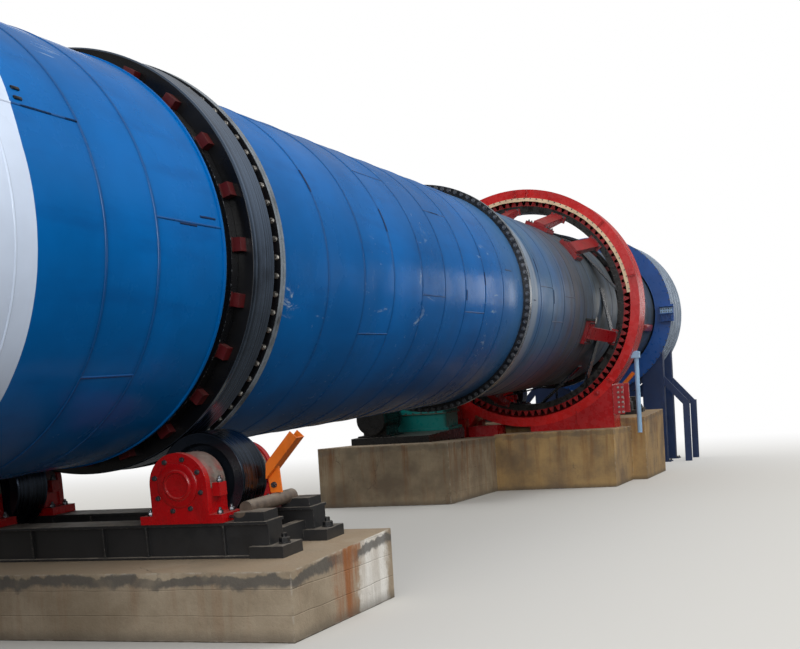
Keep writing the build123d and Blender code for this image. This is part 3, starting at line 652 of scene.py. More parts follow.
@dataclass(frozen=True)
class Enamel(Finish):
    """Brushed or sprayed machine enamel: a coloured coat with runs, dust and chipped edges.

    Alkyd enamel on steel has an IOR near 1.5 and shines where it is wiped; dust lies on
    what looks up, and edges chip to a darker primer.
    """

    roughness: float = 0.32
    dust: float = 0.35
    dust_colour: str = "#8C8478"
    chips: str = "#3A3230"
    edge: float = 0.004
    grime: float = 0.3
    dirt: str = "#1C1917"
    ior: float = 1.5

    def coat(self, on: Painter) -> Socket:
        """The colour of the clean coat."""
        return on.tint(self.colour, on.add(NOISE, 1.6, 5.0), 0.86, 1.12)

    def paint(self, on: Painter) -> None:
        """Mottled coat, dust on upper faces, chips on edges, orange peel 4 mm across.

        Args:
            on: the painter of the material's nodes.
        """
        stains = on.patches((0.52, 0.78, 0.0, self.grime), 5.0, 6.0, 0.65,
                            on.add(STRETCH, on.place, (1.0, 1.0, 0.35)))
        dusty = on.product(on.add(STEP, on.rise(), 0.25, 0.95),
                           on.patches((0.3, 0.7, 0.4, 1.0), 7.0, 6.0), self.dust)
        rubbed = on.add(TIMES, on.worn(self.edge, 0.12), on.patches((0.5, 0.62), 38.0, 3.0))
        colour = on.layered(self.coat(on), (stains, self.dirt), (dusty, self.dust_colour),
                            (rubbed, self.chips))
        gloss = on.patches((0.3, 0.7, self.roughness - 0.06, self.roughness + 0.1), 9.0, 4.0)
        rough = on.add(PLUS, gloss, on.add(TIMES, dusty, 0.5), use_clamp=True)
        peel = on.add(BUMP, on.add(NOISE, 240.0, 2.0), 0.0006, 0.35, on.add(BEVEL, self.edge))
        on.surface(Base_Color=colour, Roughness=rough, Normal=peel, IOR=self.ior)


@dataclass(frozen=True)
class DustyBarEnamel(Enamel):
    """Enamel on a part whose round bar or barrel is caked with cement dust.

    The cake is matt and hides the coat within a radius of a line beside the drum axis;
    `reach` ends it along that line, counted from the middle of each roller station.
    """

    line: tuple[float, float] = (1.64, -2.11)
    within: float = 0.06
    reach: float = 9.0
    half_span: float = 8.6
    cake: str = "#5F5247"

    def coat(self, on: Painter) -> Socket:
        """The clean coat, with grey-brown cake round the bar.

        Args:
            on: the painter of the material's nodes.

        Returns:
            The colour.
        """
        bar = TurningFrame(tuple(DRUM.world(0.0, *self.line).tolist()))
        away = on.radius(bar, mirrored=True)
        near = on.add(STEP, away, self.within, self.within + 0.002, 1.0, 0.0)
        from_middle = on.add(SIZE, on.add(MINUS, on.station(), self.half_span))
        off = on.add(SIZE, on.add(MINUS, from_middle, self.half_span))
        caked = on.add(TIMES, near, on.add(BELOW, off, self.reach))
        patchy = on.patches((0.25, 0.6, 0.55, 1.0), 9.0, 6.0, 0.6)
        dust = on.tint(self.cake, on.add(NOISE, 14.0, 5.0), 0.75, 1.3)
        return on.add(MIX, on.add(TIMES, caked, patchy), super().coat(on), dust)


@dataclass(frozen=True)
class RimmedEnamel(Enamel):
    """Enamel on a flange whose outer edge is rubbed to bare grey steel."""

    rim: float = 1.804
    bare: str = "#7C858D"

    def coat(self, on: Painter) -> Socket:
        """The coat, grey beyond the rim's radius in ragged lengths.

        Args:
            on: the painter of the material's nodes.

        Returns:
            The colour.
        """
        rubbed = on.add(TIMES, on.add(STEP, on.radius(), self.rim, self.rim + 0.004),
                        on.patches((0.3, 0.6, 0.35, 1.0), 3.0, 5.0))
        return on.add(MIX, rubbed, super().coat(on), self.bare)


@dataclass(frozen=True)
class ShellEnamel(Finish):
    """Gloss enamel rolled onto the drum's plates, dusty towards the gear.

    Fresh coats shine; the plates carry pale scratches that are partly painted glints, dark rub
    marks with painted shade along the welds, a pale band with painted reflection behind the second
    flange, and a grey film of dust that grows towards the feed end.
    """

    streak: str = "#05356F"
    dusty: str = "#4B6A86"
    caked: str = "#4A4D4B"
    soot: str = "#25292C"
    # colour of the band behind the second flange: bare steel that is partly painted reflection
    steel: str = "#8592A0"
    # colour of pale scratches, also used as painted glints
    pale: str = "#A9B8C4"
    # colour of the rub marks and painted shade along the welds
    seam: str = "#04214A"
    band: str = "#CFDCF0"
    gloss: float = 0.09
    ageing: tuple[float, float] = (6.6, 9.2)
    caking: tuple[float, float] = (10.2, 12.6)
    # stations of the pale band behind the second flange, partly painted reflection
    rubbed: tuple[float, float, float, float] = (8.60, 8.63, 9.40, 9.46)
    band_ends: tuple[float, float] = (-4.35, -2.62)
    band_lean: float = 0.19
    lean_heights: tuple[float, float] = (3.3, 4.3)
    # spots of pale scratches and painted glints: station, angle in degrees, reach
    scuff_and_glint_spots: tuple[tuple[float, float, float], ...] = (
        (0.66, -170.0, 0.34), (1.35, -164.0, 0.36), (2.65, -174.0, 0.55), (4.2, 178.0, 0.5),
        (3.6, -161.0, 0.3), (6.6, -176.0, 0.8), (7.0, -151.0, 0.4))

    def scuffs_and_glints(self, on: Painter) -> Socket:
        """Long scratches and small flecks in some places; round the listed spots they are partly
        painted glints.

        Args:
            on: the painter of the material's nodes.

        Returns:
            The amount of pale scratching and painted glint.
        """
        scuffs_and_glints = on.patches((0.60, 0.66), 3.2, 8.0, 0.72,
                            on.add(STRETCH, on.place, (0.4, 1.6, 1.6)), 1.2)
        flecks = on.patches((0.61, 0.66), 7.0, 9.0, 0.78,
                            on.add(STRETCH, on.place, (1.0, 1.0, 0.35)), 0.8)
        places = on.patches((0.56, 0.66), 0.42, 2.0)
        for middle, angle, reach in self.scuff_and_glint_spots:
            centre = tuple(DRUM.polar(middle, 1.7, radians(angle)).tolist())
            gap = on.add(DISTANCE, on.place, centre)
            places = on.add(LARGER, places, on.add(STEP, gap, reach * 0.5, reach, 1.0, 0.0))
        return on.add(TIMES, on.add(LARGER, scuffs_and_glints, flecks), places)

    def white_band(self, on: Painter, station: Socket) -> Socket:
        """One between the band's ends; the nearer end leans and is a little wavy.

        Args:
            on: the painter of the material's nodes.
            station: distance along the drum.

        Returns:
            One on the band and zero off it.
        """
        first, last = self.band_ends
        lean = on.add(TIMES, on.add(STEP, on.height(), *self.lean_heights), self.band_lean)
        edge = on.add(PLUS, on.add(PLUS, lean, last), on.add(TIMES, on.add(NOISE, 4.0, 3.0), 0.012))
        return on.add(TIMES, on.add(BELOW, station, edge), on.add(ABOVE, station, first))

    def paint(self, on: Painter) -> None:
        """Mottled blue, streaks, dust, scratches with painted glints, a band with painted
        reflection, painted weld shade, white band.

        Args:
            on: the painter of the material's nodes.
        """
        station, scuff_and_glint = on.station(), self.scuffs_and_glints(on)
        streaks = on.patches((0.50, 0.80, 0.0, 0.3), 1.0, 6.0, 0.62,
                             on.add(STRETCH, on.place, (0.9, 5.0, 5.0)))
        ageing = on.add(STEP, station, *self.ageing)
        film = on.add(TIMES, on.patches((0.25, 0.7, 0.55, 1.0), 0.9, 6.0, 0.65), ageing)
        thin = on.patches((0.45, 0.75, 0.0, 0.05), 0.35, 4.0)
        rings = on.add(NOISE, 1.0, 7.0, 0.66, on.add(STRETCH, on.place, (9.0, 0.9, 0.9)))
        caked = on.add(TIMES, on.add(STEP, station, *self.caking),
                       on.add(STEP, rings, 0.25, 0.62, 0.45, 0.95))
        sooty = on.add(TIMES, ageing, on.add(STEP, rings, 0.52, 0.72, 0.0, 0.6))
        # pale band behind the second flange: partly rubbed bare steel, partly painted reflection
        bare = on.add(TIMES, on.band(station, self.rubbed),
                      on.add(STEP, rings, 0.3, 0.6, 0.5, 0.95))
        # rub marks and painted shade along the welds, from the weld attribute
        seams = on.add(TIMES, on.add(WELD_RUB_AND_SHADE), 0.55, use_clamp=True)
        white = on.tint(self.band, on.add(NOISE, 2.0, 5.0), 0.93, 1.02)
        colour = on.layered(on.tint(self.colour, on.add(NOISE, 0.55, 5.0, 0.6), 0.80, 1.16),
                            (streaks, self.streak), (on.add(LARGER, film, thin), self.dusty),
                            (caked, self.caked), (sooty, self.soot), (bare, self.steel),
                            (on.add(TIMES, scuff_and_glint, 0.7), self.pale), (seams, self.seam),
                            (self.white_band(on, station), white))
        rough = on.patches((0.3, 0.75, 0.17, 0.34), 1.4, 6.0, 0.6)
        rough = on.add(PLUS, rough, on.add(TIMES, film, 0.16))
        rough = on.add(PLUS, rough, on.add(TIMES, scuff_and_glint, 0.25), use_clamp=True)
        dents = on.add(BUMP, on.add(NOISE, 2.2, 3.0), 0.004, 0.5)
        peel = on.add(BUMP, on.add(NOISE, 170.0, 2.0), 0.0006, 0.3, dents)
        on.surface(Base_Color=colour, Roughness=rough, Normal=peel, IOR=1.5,
                   Specular_IOR_Level=self.gloss)


@dataclass(frozen=True)
class MachinedSteel(Finish):
    """Turned carbon steel with an oil film: dark, with bright bands where it rolls.

    A metal with the default IOR; lathe marks run round the axis, so the pattern is drawn
    on the distance along and from the axis. Side faces keep black paint.
    """

    side: str = "#0C0C0D"
    turning: TurningFrame = DRUM
    rim: float = 1.79
    roughness: float = 0.3
    lathe: float = 34.0
    oily: str = "#1B1A19"

    def paint(self, on: Painter) -> None:
        """Rolling face by radius, lathe marks round the axis, oily patches, painted sides.

        Args:
            on: the painter of the material's nodes.
        """
        radius = on.radius(self.turning)
        rolling = on.add(STEP, radius, self.rim - 0.004, self.rim + 0.002)
        turns = on.add(JOIN, on.add(TIMES, on.station(), self.lathe),
                       on.add(TIMES, radius, self.lathe))
        lathe = on.add(NOISE, 1.0, 3.0, 0.6, turns)
        oil = on.add(NOISE, 1.5, 5.0, 0.6)
        metal = on.add(MIX, on.add(STEP, oil, 0.5, 0.75, 0.0, 0.6),
                       on.tint(self.colour, lathe, 0.55, 1.35), self.oily)
        colour = on.add(MIX, rolling, on.tint(self.side, oil, 0.8, 1.5), metal)
        turned_gloss = on.add(STEP, lathe, 0.3, 0.7, self.roughness - 0.08, self.roughness + 0.1)
        rough = on.add(MIX, rolling, on.add(STEP, oil, 0.3, 0.7, 0.16, 0.34), turned_gloss)
        normal = on.add(BUMP, lathe, 0.0006, 0.3, on.add(BEVEL, 0.006))
        on.surface(Base_Color=colour, Roughness=rough, Metallic=rolling, Normal=normal)


@dataclass(frozen=True)
class CastTeeth(Finish):
    """Cast steel gear, black with open-gear grease, red paint on the faces of its teeth."""

    paint_colour: str = "#9E1418"
    face: float = 2.18

    def paint(self, on: Painter) -> None:
        """Grease in patches, paint on what faces along the axis beyond a radius.

        Args:
            on: the painter of the material's nodes.
        """
        along = on.add(SIZE, on.add(DOT, on.add(NORMAL), tuple(DRUM.along)))
        painted = on.add(TIMES, on.add(STEP, on.radius(), self.face, self.face + 0.01),
                         on.add(STEP, along, 0.7, 0.9))
        worn = on.patches((0.35, 0.6, 0.45, 1.0), 14.0, 5.0)
        colour = on.add(MIX, on.add(TIMES, painted, worn),
                        on.tint(self.colour, on.add(NOISE, 6.0, 5.0), 0.7, 1.5), self.paint_colour)
        rough = on.patches((0.35, 0.65, 0.18, 0.5), 11.0, 5.0)
        normal = on.add(BUMP, on.add(NOISE, 120.0, 4.0), 0.0012, 0.5, on.add(BEVEL, 0.004))
        on.surface(Base_Color=colour, Roughness=rough, Normal=normal, Metallic=0.25)


@dataclass(frozen=True)
class ZincBolt(Finish):
    """Zinc plated fasteners, grey-bright with oily recesses."""

    roughness: float = 0.34
    oily: str = "#2A2825"

    def paint(self, on: Painter) -> None:
        """Bright metal with darker oily spots.

        Args:
            on: the painter of the material's nodes.
        """
        spots = on.add(NOISE, 30.0, 4.0)
        colour = on.add(MIX, on.add(STEP, spots, 0.5, 0.68, 0.0, 0.75), self.colour, self.oily)
        rough = on.add(STEP, spots, 0.3, 0.7, self.roughness - 0.08, self.roughness + 0.2)
        on.surface(Base_Color=colour, Roughness=rough, Metallic=0.9, Normal=on.add(BEVEL, 0.002))


@dataclass(frozen=True)
class FeltStrip(Finish):
    """Woven seal strip, matt and fibrous."""

    thread: str = "#9A7A5E"

    def paint(self, on: Painter) -> None:
        """A fine weave 6 mm across, drawn coarser than the real one so that it shows.

        Args:
            on: the painter of the material's nodes.
        """
        weave = on.add(NOISE, 160.0, 3.0)
        colour = on.add(MIX, on.add(STEP, weave, 0.45, 0.7, 0.0, 0.3),
                        on.tint(self.colour, on.add(NOISE, 3.0, 5.0), 0.82, 1.1), self.thread)
        on.surface(Base_Color=colour, Roughness=0.85, Normal=on.add(BUMP, weave, 0.002, 0.5))


@dataclass(frozen=True)
class Concrete(Finish):
    """Board-marked concrete: beige-grey, dark and damp under its top edge, stained and patched.

    Cement paste is matt with an IOR near 1.5; the boards of the form leave level lines
    every 0.2 m, and rust and oil run down from the machine. The top rises with x beyond
    `flat_until` and is level before it.
    """

    flat_top: float = 1.167
    flat_until: float = -99.0
    sloped_top: float = 0.5743
    washed: tuple[float, float] = (50.0, 51.0)
    rusted: tuple[float, float] = (50.0, 51.0)
    dark: str = "#8B7C68"
    stain: str = "#7A4F2B"
    lime: str = "#E6E3DC"
    wet: str = "#4B4A48"
    rust: str = "#93582B"
    dust: str = "#8E7B63"
    grit: str = "#4A4239"
    # colour of dirt and painted shade at the foot
    foot_dirt_and_shade: str = "#514A41"
    gap: str = "#38332D"
    chip: str = "#B9B1A4"
    brown: float = 0.35
    damp: float = 0.8
    damp_depths: tuple[float, float, float, float] = (0.015, 0.035, 0.09, 0.13)

    def depth(self, on: Painter) -> Socket:
        """Distance below the pier's top: sloped top + 0.05 x - z, or the flat top less z.

        Args:
            on: the painter of the material's nodes.

        Returns:
            Metres.
        """
        x = on.add(SPLIT, on.place, output="X")
        flat = on.add(BELOW, x, self.flat_until)
        sloped = on.add(TIMES, on.add(MINUS, 1.0, flat),
                        on.add(SCALED, x, DRUM.slope, self.sloped_top))
        return on.add(MINUS, on.add(PLUS, on.add(TIMES, flat, self.flat_top), sloped), on.height())

    def between(self, on: Painter, span: tuple[float, float], ragged: Socket) -> Socket:
        """One from the first x to the second, with ragged edges.

        Args:
            on: the painter of the material's nodes.
            span: first and last x.
            ragged: noise that shifts the edges.

        Returns:
            One in the span and zero outside.
        """
        shift = on.add(TIMES, on.add(MINUS, ragged, 0.5), 0.5)
        x = on.add(PLUS, on.add(SPLIT, on.place, output="X"), shift)
        return on.band(x, tuple(edge + step for edge in span for step in (-0.06, 0.06)))

    def paint(self, on: Painter) -> None:
        """Cloudy paste under runs, wash, damp, rust, dust, grit, dirt with painted shade at the
        foot, cracks and chips.

        Args:
            on: the painter of the material's nodes.
        """
        clouds, ragged = on.add(NOISE, 1.3, 8.0, 0.62), on.add(NOISE, 4.5, 6.0, 0.62)
        runs = on.add(NOISE, 6.5, 6.0, 0.66, on.add(STRETCH, on.place, (1.0, 1.0, 0.1)))
        side, depth = on.add(STEP, on.rise(), 0.3, 0.6, 1.0, 0.0), self.depth(on)
        stained = on.product(on.add(STEP, runs, 0.46, 0.66),
                             on.add(STEP, depth, 0.0, 0.9, 1.0, 0.35), side, self.brown)
        washed = on.product(self.between(on, self.washed, ragged),
                            on.add(STEP, runs, 0.3, 0.6, 1.0, 0.45), side)
        wavy = on.add(PLUS, depth, on.add(TIMES, on.add(MINUS, ragged, 0.5), 0.22))
        damp = on.product(on.band(wavy, self.damp_depths), side,
                          on.patches((0.3, 0.5, self.damp * 0.4, self.damp), 2.3, 4.0))
        rusted = on.product(self.between(on, self.rusted, ragged),
                            on.add(STEP, runs, 0.36, 0.6, 0.15, 0.9), side)
        dusty = on.add(TIMES, on.add(STEP, on.rise(), 0.5, 0.9),
                       on.patches((0.32, 0.62, 0.2, 0.85), 2.6, 7.0, 0.6))
        # darker towards the floor on the sides: spattered dirt with painted shade at the foot
        foot_dirt_and_shade_mask = on.add(TIMES, on.add(STEP, on.height(), 0.0, 0.12, 0.6, 0.0), side)
        wander = on.add(DRIFT, on.add(WANDER, 5.0, 6.0), (0.35, 0.35, 0.35), on.place)
        crack = on.add(TIMES, on.add(STEP, on.add(CELLS, 0.7, wander), 0.0, 0.006, 1.0, 0.0),
                       on.patches((0.54, 0.6), 0.8, 2.0))
        chipped = on.product(on.worn(0.03, 0.2), on.patches((0.45, 0.6), 12.0, 4.0), 0.7)
        colour = on.layered(on.add(MIX, on.add(STEP, clouds, 0.3, 0.7), self.dark, self.colour),
                            (stained, self.stain), (washed, self.lime), (damp, self.wet),
                            (rusted, self.rust), (dusty, self.dust),
                            (on.patches((0.56, 0.75, 0.0, 0.35), 90.0, 4.0), self.grit),
                            (foot_dirt_and_shade_mask, self.foot_dirt_and_shade), (on.add(TIMES, crack, 0.6), self.gap),
                            (chipped, self.chip))
        lines = on.add(MINUS, on.add(STEP, on.add(BOARDS, 1.6, 0.5, 2.0), 0.0, 0.06), crack)
        relief = on.add(PLUS, on.add(TIMES, lines, 0.6), on.add(NOISE, 22.0, 6.0, 0.6))
        coarse = on.add(BUMP, relief, 0.008, 0.7, on.add(BEVEL, 0.015))
        pitted = on.add(BUMP, on.patches((0.24, 0.34), 48.0, 3.0), 0.004, 0.6, coarse)
        on.surface(Base_Color=colour, Roughness=on.add(STEP, clouds, 0.3, 0.7, 0.82, 0.95),
                   Normal=pitted, IOR=1.5)


@dataclass(frozen=True)
class PaleFloor(Finish):
    """Power-floated floor, pale and matt, that fades to white far away.

    It sends less light back up than it shows, as a busy hall floor under a machine does.
    """

    bounce: str = "#3C3935"

    def paint(self, on: Painter) -> None:
        """A plain pale grey, darker to bounced rays, white to the camera at a distance.

        Args:
            on: the painter of the material's nodes.
        """
        away = on.add(LENGTH, on.place)
        far = on.add(STEP, away, 12.0, 46.0)
        camera, gloss, clear, diffuse = (on.add(RAY, output=f"Is {kind} Ray")
                                         for kind in ("Camera", "Glossy", "Transmission",
                                                      "Diffuse"))
        mirrored = on.add(TIMES, gloss, MIRRORED_SHARE)
        seen = on.add(LARGER, camera, on.add(LARGER, mirrored, clear))
        bounced = on.add(LARGER, diffuse, gloss)
        on.surface(Base_Color=on.add(MIX, bounced, self.colour, self.bounce), Roughness=0.9)
        shown = on.add(BLEND, on.add(TIMES, far, seen), on.tree.nodes["Principled BSDF"].outputs[0],
                       on.add(GLOW, WHITE, 1.0))
        on.feed(on.tree.nodes["Material Output"].inputs["Surface"], shown)


BLUE = ShellEnamel("blue gloss enamel on shell plate", "blue_shell", "#005FA6")
BEAD_BLUE = replace(BLUE, title="blue gloss enamel on weld beads", gloss=0.5)
BLACK = Enamel("black machine enamel", "black_steel", "#151618", roughness=0.28, dust=0.3,
               chips="#5A5550")
FLANGE_BLACK = RimmedEnamel("black enamel on flange plate", "black_steel", "#121316",
                            roughness=0.24, dust=0.15, chips="#9AA0A6", edge=0.006)
FRAME_BLACK = DustyBarEnamel("black enamel on base frames", "black_steel", "#242425",
                             roughness=0.36, dust=0.75, dust_colour="#8A8174", chips="#6E675E",
                             edge=0.007)
# the light bluish steel colour partly paints bluish reflections on the rolling face
RING_STEEL = MachinedSteel("turned steel riding ring", "rolling_steel", "#8296B0", roughness=0.2)
GUARD_RED = Enamel("signal red enamel on sheet steel", "red_paint", "#BE1B1B", roughness=0.26,
                   dust=0.22, dust_colour="#C99A90", grime=0.25)
STAND_RED = Enamel("deep signal red enamel on plate", "red_paint", "#A3141A", roughness=0.26,
                   dust=0.35, dust_colour="#B08A80", grime=0.3)
# a darker red than the guard's: partly the arms' own paint, partly painted shade
CARRIER_RED = Enamel("dark red enamel on welded arms", "dark_red_paint", "#84141A", roughness=0.3,
                     dust=0.25, dust_colour="#8A5A54", grime=0.45, chips="#2A1A1A")
# red darkened as painted shade of the blocks inside the riding rings
SHADED_BLOCK_RED = Enamel("dull red enamel on forged blocks", "dark_red_paint", "#4E0D10", roughness=0.42,
                   dust=0.3, dust_colour="#5C4540", grime=0.6)
BEARING_RED = Enamel("deep red enamel on cast iron", "dark_red_paint", "#A00A0E", roughness=0.24,
                     dust=0.4, dust_colour="#8A6A62")
HOUSING_RED = DustyBarEnamel("deep red enamel on bearing housings", "dark_red_paint", "#A50A0E",
                             roughness=0.24, dust=0.4, dust_colour="#8A6A62",
                             line=(1.13325, -1.88604), within=0.2505, reach=0.49, cake="#6B625B")
ORANGE = Enamel("orange enamel on channel steel", "orange_paint", "#E0701F", roughness=0.35,
                dust=0.25, chips="#6E4A30")
TEAL = Enamel("teal enamel on cast iron", "teal_paint", "#17847F", roughness=0.3, dust=0.35)
SEAM_BROWN = Enamel("rusted joint face", "teal_paint", "#6A4A34", roughness=0.6, dust=0.4,
                    dust_colour="#7A6A58")
FACE_BLUE = Enamel("mid blue enamel on hood plate", "navy_hood", "#174C92", roughness=0.32,
                   dust=0.2, dust_colour="#7F95AE")
NAVY = Enamel("navy enamel on frame steel", "navy_hood", "#132C55", roughness=0.34, dust=0.3,
              dust_colour="#6E7886")
HOOD_GREY = Enamel("pale grey enamel on sheet steel", "hood_grey", "#96A3B2", roughness=0.36,
                   dust=0.2)
PIPE_BLUE = Enamel("pale blue enamel on tube", "hood_grey", "#8FB2D2", roughness=0.4, dust=0.15)
# its light bluish chips on the edges are partly painted highlights
SPRING_STEEL = Enamel("oily dark spring plate", "dusty_shell", "#161C25", roughness=0.2, dust=0.08,
                      dust_colour="#5E7083", chips="#93A6B8", edge=0.012)
END_RED = Enamel("chipped red enamel on a bolted flange", "red_paint", "#A8242A", roughness=0.35,
                 dust=0.3, dust_colour="#D8C4BE", chips="#DCCFC8", edge=0.03, grime=0.1)
TEETH = CastTeeth("greased cast steel teeth", "cast_teeth", "#1A1817")
ZINC = ZincBolt("zinc plated bolts", "rolling_steel", "#B9B6B0")
DARK_BOLT = ZincBolt("blackened bolts", "rolling_steel", "#6A6C70", roughness=0.3)
FELT = FeltStrip("woven cream seal strip", "beige_strip", "#DCC3A2")
PIER_CONCRETE = Concrete("board marked concrete of the first pier", "concrete", "#A99A84",
                         dark="#857661", washed=(0.2, 0.83), rusted=(-0.27, 0.16), brown=0.3)
TALL_CONCRETE = Concrete("board marked concrete of the second pier", "concrete", "#B0905F",
                         flat_top=1.169, flat_until=15.48, dark="#7A664E", brown=0.7, damp=0.35)
DRIVE_CONCRETE = Concrete("board marked concrete of the drive pier", "concrete", "#9A8A70",
                          flat_top=1.127, flat_until=99.0, dark="#6E5F4C", brown=0.8, damp=0.3)
FLOOR = PaleFloor("pale floated floor", "concrete", "#BDBBB6")


def make_piece(name: str, shape: Shape | list[Shape], finish: Finish, body: str = "root",
               crease: float = 38.0, weld: Array | None = None) -> Object:
    """Puts a shape into the scene as a piece that rides on a body.

    Args:
        name: the piece's name.
        shape: its points and faces in the row frame, or a list of shapes to join.
        finish: its surface.
        body: the CAD body that it moves with.
        crease: angle in degrees over which an edge stays sharp.
        weld: how near each point is to a weld, for a finish that shows it.

    Returns:
        The new object.
    """
    shape = joined(shape) if isinstance(shape, list) else shape
    inside_out = signed_volume(shape) < 0.0
    groups = [group[:, ::-1] if inside_out else group for group in shape.groups]
    totals = np.concatenate([np.full(len(group), group.shape[1]) for group in groups])
    starts = np.concatenate([[0], np.cumsum(totals)[:-1]])
    mesh = bpy.data.meshes.new(name)
    mesh.vertices.add(len(shape.points))
    mesh.vertices.foreach_set("co", shape.points.astype(np.float32).ravel())
    mesh.loops.add(int(totals.sum()))
    mesh.loops.foreach_set("vertex_index",
                           np.concatenate([group.ravel() for group in groups]).astype(np.int32))
    mesh.polygons.add(len(totals))
    mesh.polygons.foreach_set("loop_start", starts.astype(np.int32))
    mesh.polygons.foreach_set("use_smooth", np.ones(len(totals), bool))
    if weld is not None:
        mark = mesh.attributes.new("weld", "FLOAT", "POINT")
        mark.data.foreach_set("value", weld.astype(np.float32))
    mesh.update()
    mesh.validate()
    mesh.set_sharp_from_angle(angle=radians(crease))
    mesh.materials.append(finish.material())
    piece = bpy.data.objects.new(name, mesh)
    bpy.context.scene.collection.objects.link(piece)
    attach(piece, body)
    log.info("%s: %d faces on %s", name, len(totals), body)
    return piece


def dress(finish: Finish, *nodes: str) -> None:
    """Gives CAD nodes a finish through their material slots.

    Args:
        finish: the surface.
        nodes: names of the nodes.
    """
    for node in nodes:
        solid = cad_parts[node]
        if not solid.material_slots:
            solid.data.materials.append(finish.material())
        for place in solid.material_slots:
            place.link = "OBJECT"
            place.material = finish.material()


# Sub-assemblies


@dataclass
class DrumShell:
    """The welded shell: plates with slight dents, ring welds and staggered long welds."""

    radius: float = 1.7
    wall: float = 0.028
    sides: int = 192
    row_pitch: float = 0.12
    row_clear: float = 0.07
    weld_rows: tuple[float, ...] = (-0.06, -0.025, 0.0, 0.025, 0.06)
    weld_reach: float = 0.02
    weld_sink: float = 0.0015
    bead_width: float = 0.019
    bead_height: float = 0.0055
    bead_foot: float = 0.002
    bead_points: int = 6
    ring_welds: tuple[float, ...] = (
        -5.30, -4.50, -3.65, -2.80, -1.953, -1.357, 1.428, 2.295, 3.106, 3.993, 4.80, 5.615, 6.497,
        7.40, 9.65, 10.52, 11.38, 12.24, 13.10, 13.95, 16.10, 18.50, 19.35, 20.20, 21.05)
    sections: tuple[tuple[str, float, float], ...] = (
        ("shell_front", -5.900, -0.459), ("shell_middle", 0.3443, 8.5067),
        ("shell_rear", 8.6263, 16.741), ("shell_feed_end", 17.659, 22.750))
    seen_long_welds: tuple[tuple[float, float], ...] = (
        (-2.80, 157.0), (-1.357, 176.5), (1.428, 122.0), (2.295, 204.0), (3.106, 139.0),
        (3.993, 188.0), (4.80, 150.0))
    weld_swing: float = 60.0
    ring_swell: float = 1.4
    long_swell: float = 1.3
    # darkness of beads and scars: rub marks with painted shade; on the scars it is painted shadow
    # of raised laps
    bead_rub_and_shade: float = 0.75
    scar_rub_and_shadow: float = 1.7
    first_rim: float = -0.47
    lip: tuple[tuple[float, float], ...] = (
        (-0.489, 1.700), (-0.486, 1.7125), (-0.462, 1.7125), (-0.459, 1.709), (-0.459, 1.602),
        (-0.489, 1.602))
    scars: tuple[tuple[float, float, float], ...] = (
        (-2.49, -2.21, 157.0), (-2.08, -1.96, 157.0), (-1.06, -0.835, 177.0),
        (-0.767, -0.553, 174.4), (5.0, 5.32, 150.0), (7.62, 7.95, 171.0), (9.15, 9.28, -175.6))
    tabs: tuple[tuple[float, float], ...] = ((-2.456, 152.8), (-2.481, 155.4), (-2.47, 340.0))
    tab_size: tuple[float, float, float] = (0.07, 0.022, 0.012)
    end_bars: tuple[tuple[float, float], ...] = ((21.1, 195.5), (21.1, 15.5))
    end_bar_size: tuple[float, float, float] = (1.5, 0.17, 0.075)
    seams: tuple[tuple[float, float, float], ...] = (
        (3.108, 157.0, 166.0), (5.66, 184.0, 188.4), (6.5, 174.5, 180.5), (10.57, 177.0, 185.0),
        (1.43, 150.0, 158.0), (9.65, 160.0, 168.0))
    seam: tuple[tuple[float, float], ...] = (
        (-0.014, 1.699), (-0.009, 1.7075), (0.009, 1.7075), (0.014, 1.699))
    seed: int = 7

    def dents(self, station: Array, angle: Array) -> Array:
        """Radial waves of the plates: a sum of sines in station and angle, 2 mm high.

        Args:
            station: distance along the axis.
            angle: angle round it, in radians.

        Returns:
            How far the plate stands out.
        """
        waves = (np.sin(7.3 * station + 2.0 * np.sin(3 * angle)) * np.cos(5 * angle + 0.7 * station)
                 + 0.6 * np.sin(2.9 * station + 1.3) * np.cos(11 * angle - 1.9)
                 + 0.5 * np.cos(13.1 * station + 4 * angle))
        return 0.0011 * waves

    def weld_nearness(self, station: Array) -> Array:
        """How near a station is to a ring weld: exp(-(gap / reach)^2).

        Args:
            station: distance along the axis.

        Returns:
            One on a weld and nearly zero 60 mm off it.
        """
        gap = np.abs(station[..., None] - np.array(self.ring_welds)).min(axis=-1)
        return np.exp(-(gap / self.weld_reach) ** 2)

    def skin(self, name: str, start: float, end: float) -> None:
        """One section's plates: r = radius + dents, closed by its bore and end faces.

        Args:
            name: the CAD node that the piece stands for.
            start: first station.
            end: last station.
        """
        clear = self.row_clear
        welds = np.array([w for w in self.ring_welds if start + clear < w < end - clear])
        rows = np.linspace(start, end, int((end - start) / self.row_pitch) + 2)
        rows = rows[np.abs(rows[:, None] - np.append(welds, np.inf)).min(axis=1) > clear]
        rows = np.sort(np.concatenate([rows] + [welds + step for step in self.weld_rows]))
        angle = np.arange(self.sides) * 2 * pi / self.sides
        nearness = self.weld_nearness(rows) if len(welds) else np.zeros_like(rows)
        fade = np.clip(np.minimum(rows - start, end - rows) / 0.1, 0.0, 1.0)
        radius = (self.radius - self.weld_sink * nearness[:, None]
                  + fade[:, None] * self.dents(rows[:, None], angle[None, :]))
        outside = DRUM.polar(rows[:, None], radius, angle[None, :])
        bore = DRUM.polar(np.array([[end], [start]]), self.radius - self.wall, angle[None, :])
        grid = np.concatenate([outside, bore])
        weld = np.concatenate([np.repeat(nearness, self.sides), np.zeros(2 * self.sides)])
        shape = Shape(grid.reshape(-1, 3), [grid_quads(len(grid), self.sides, True)])
        piece = make_piece(f"{name}_plates", shape, BLUE, "drum", weld=weld)
        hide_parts(name)

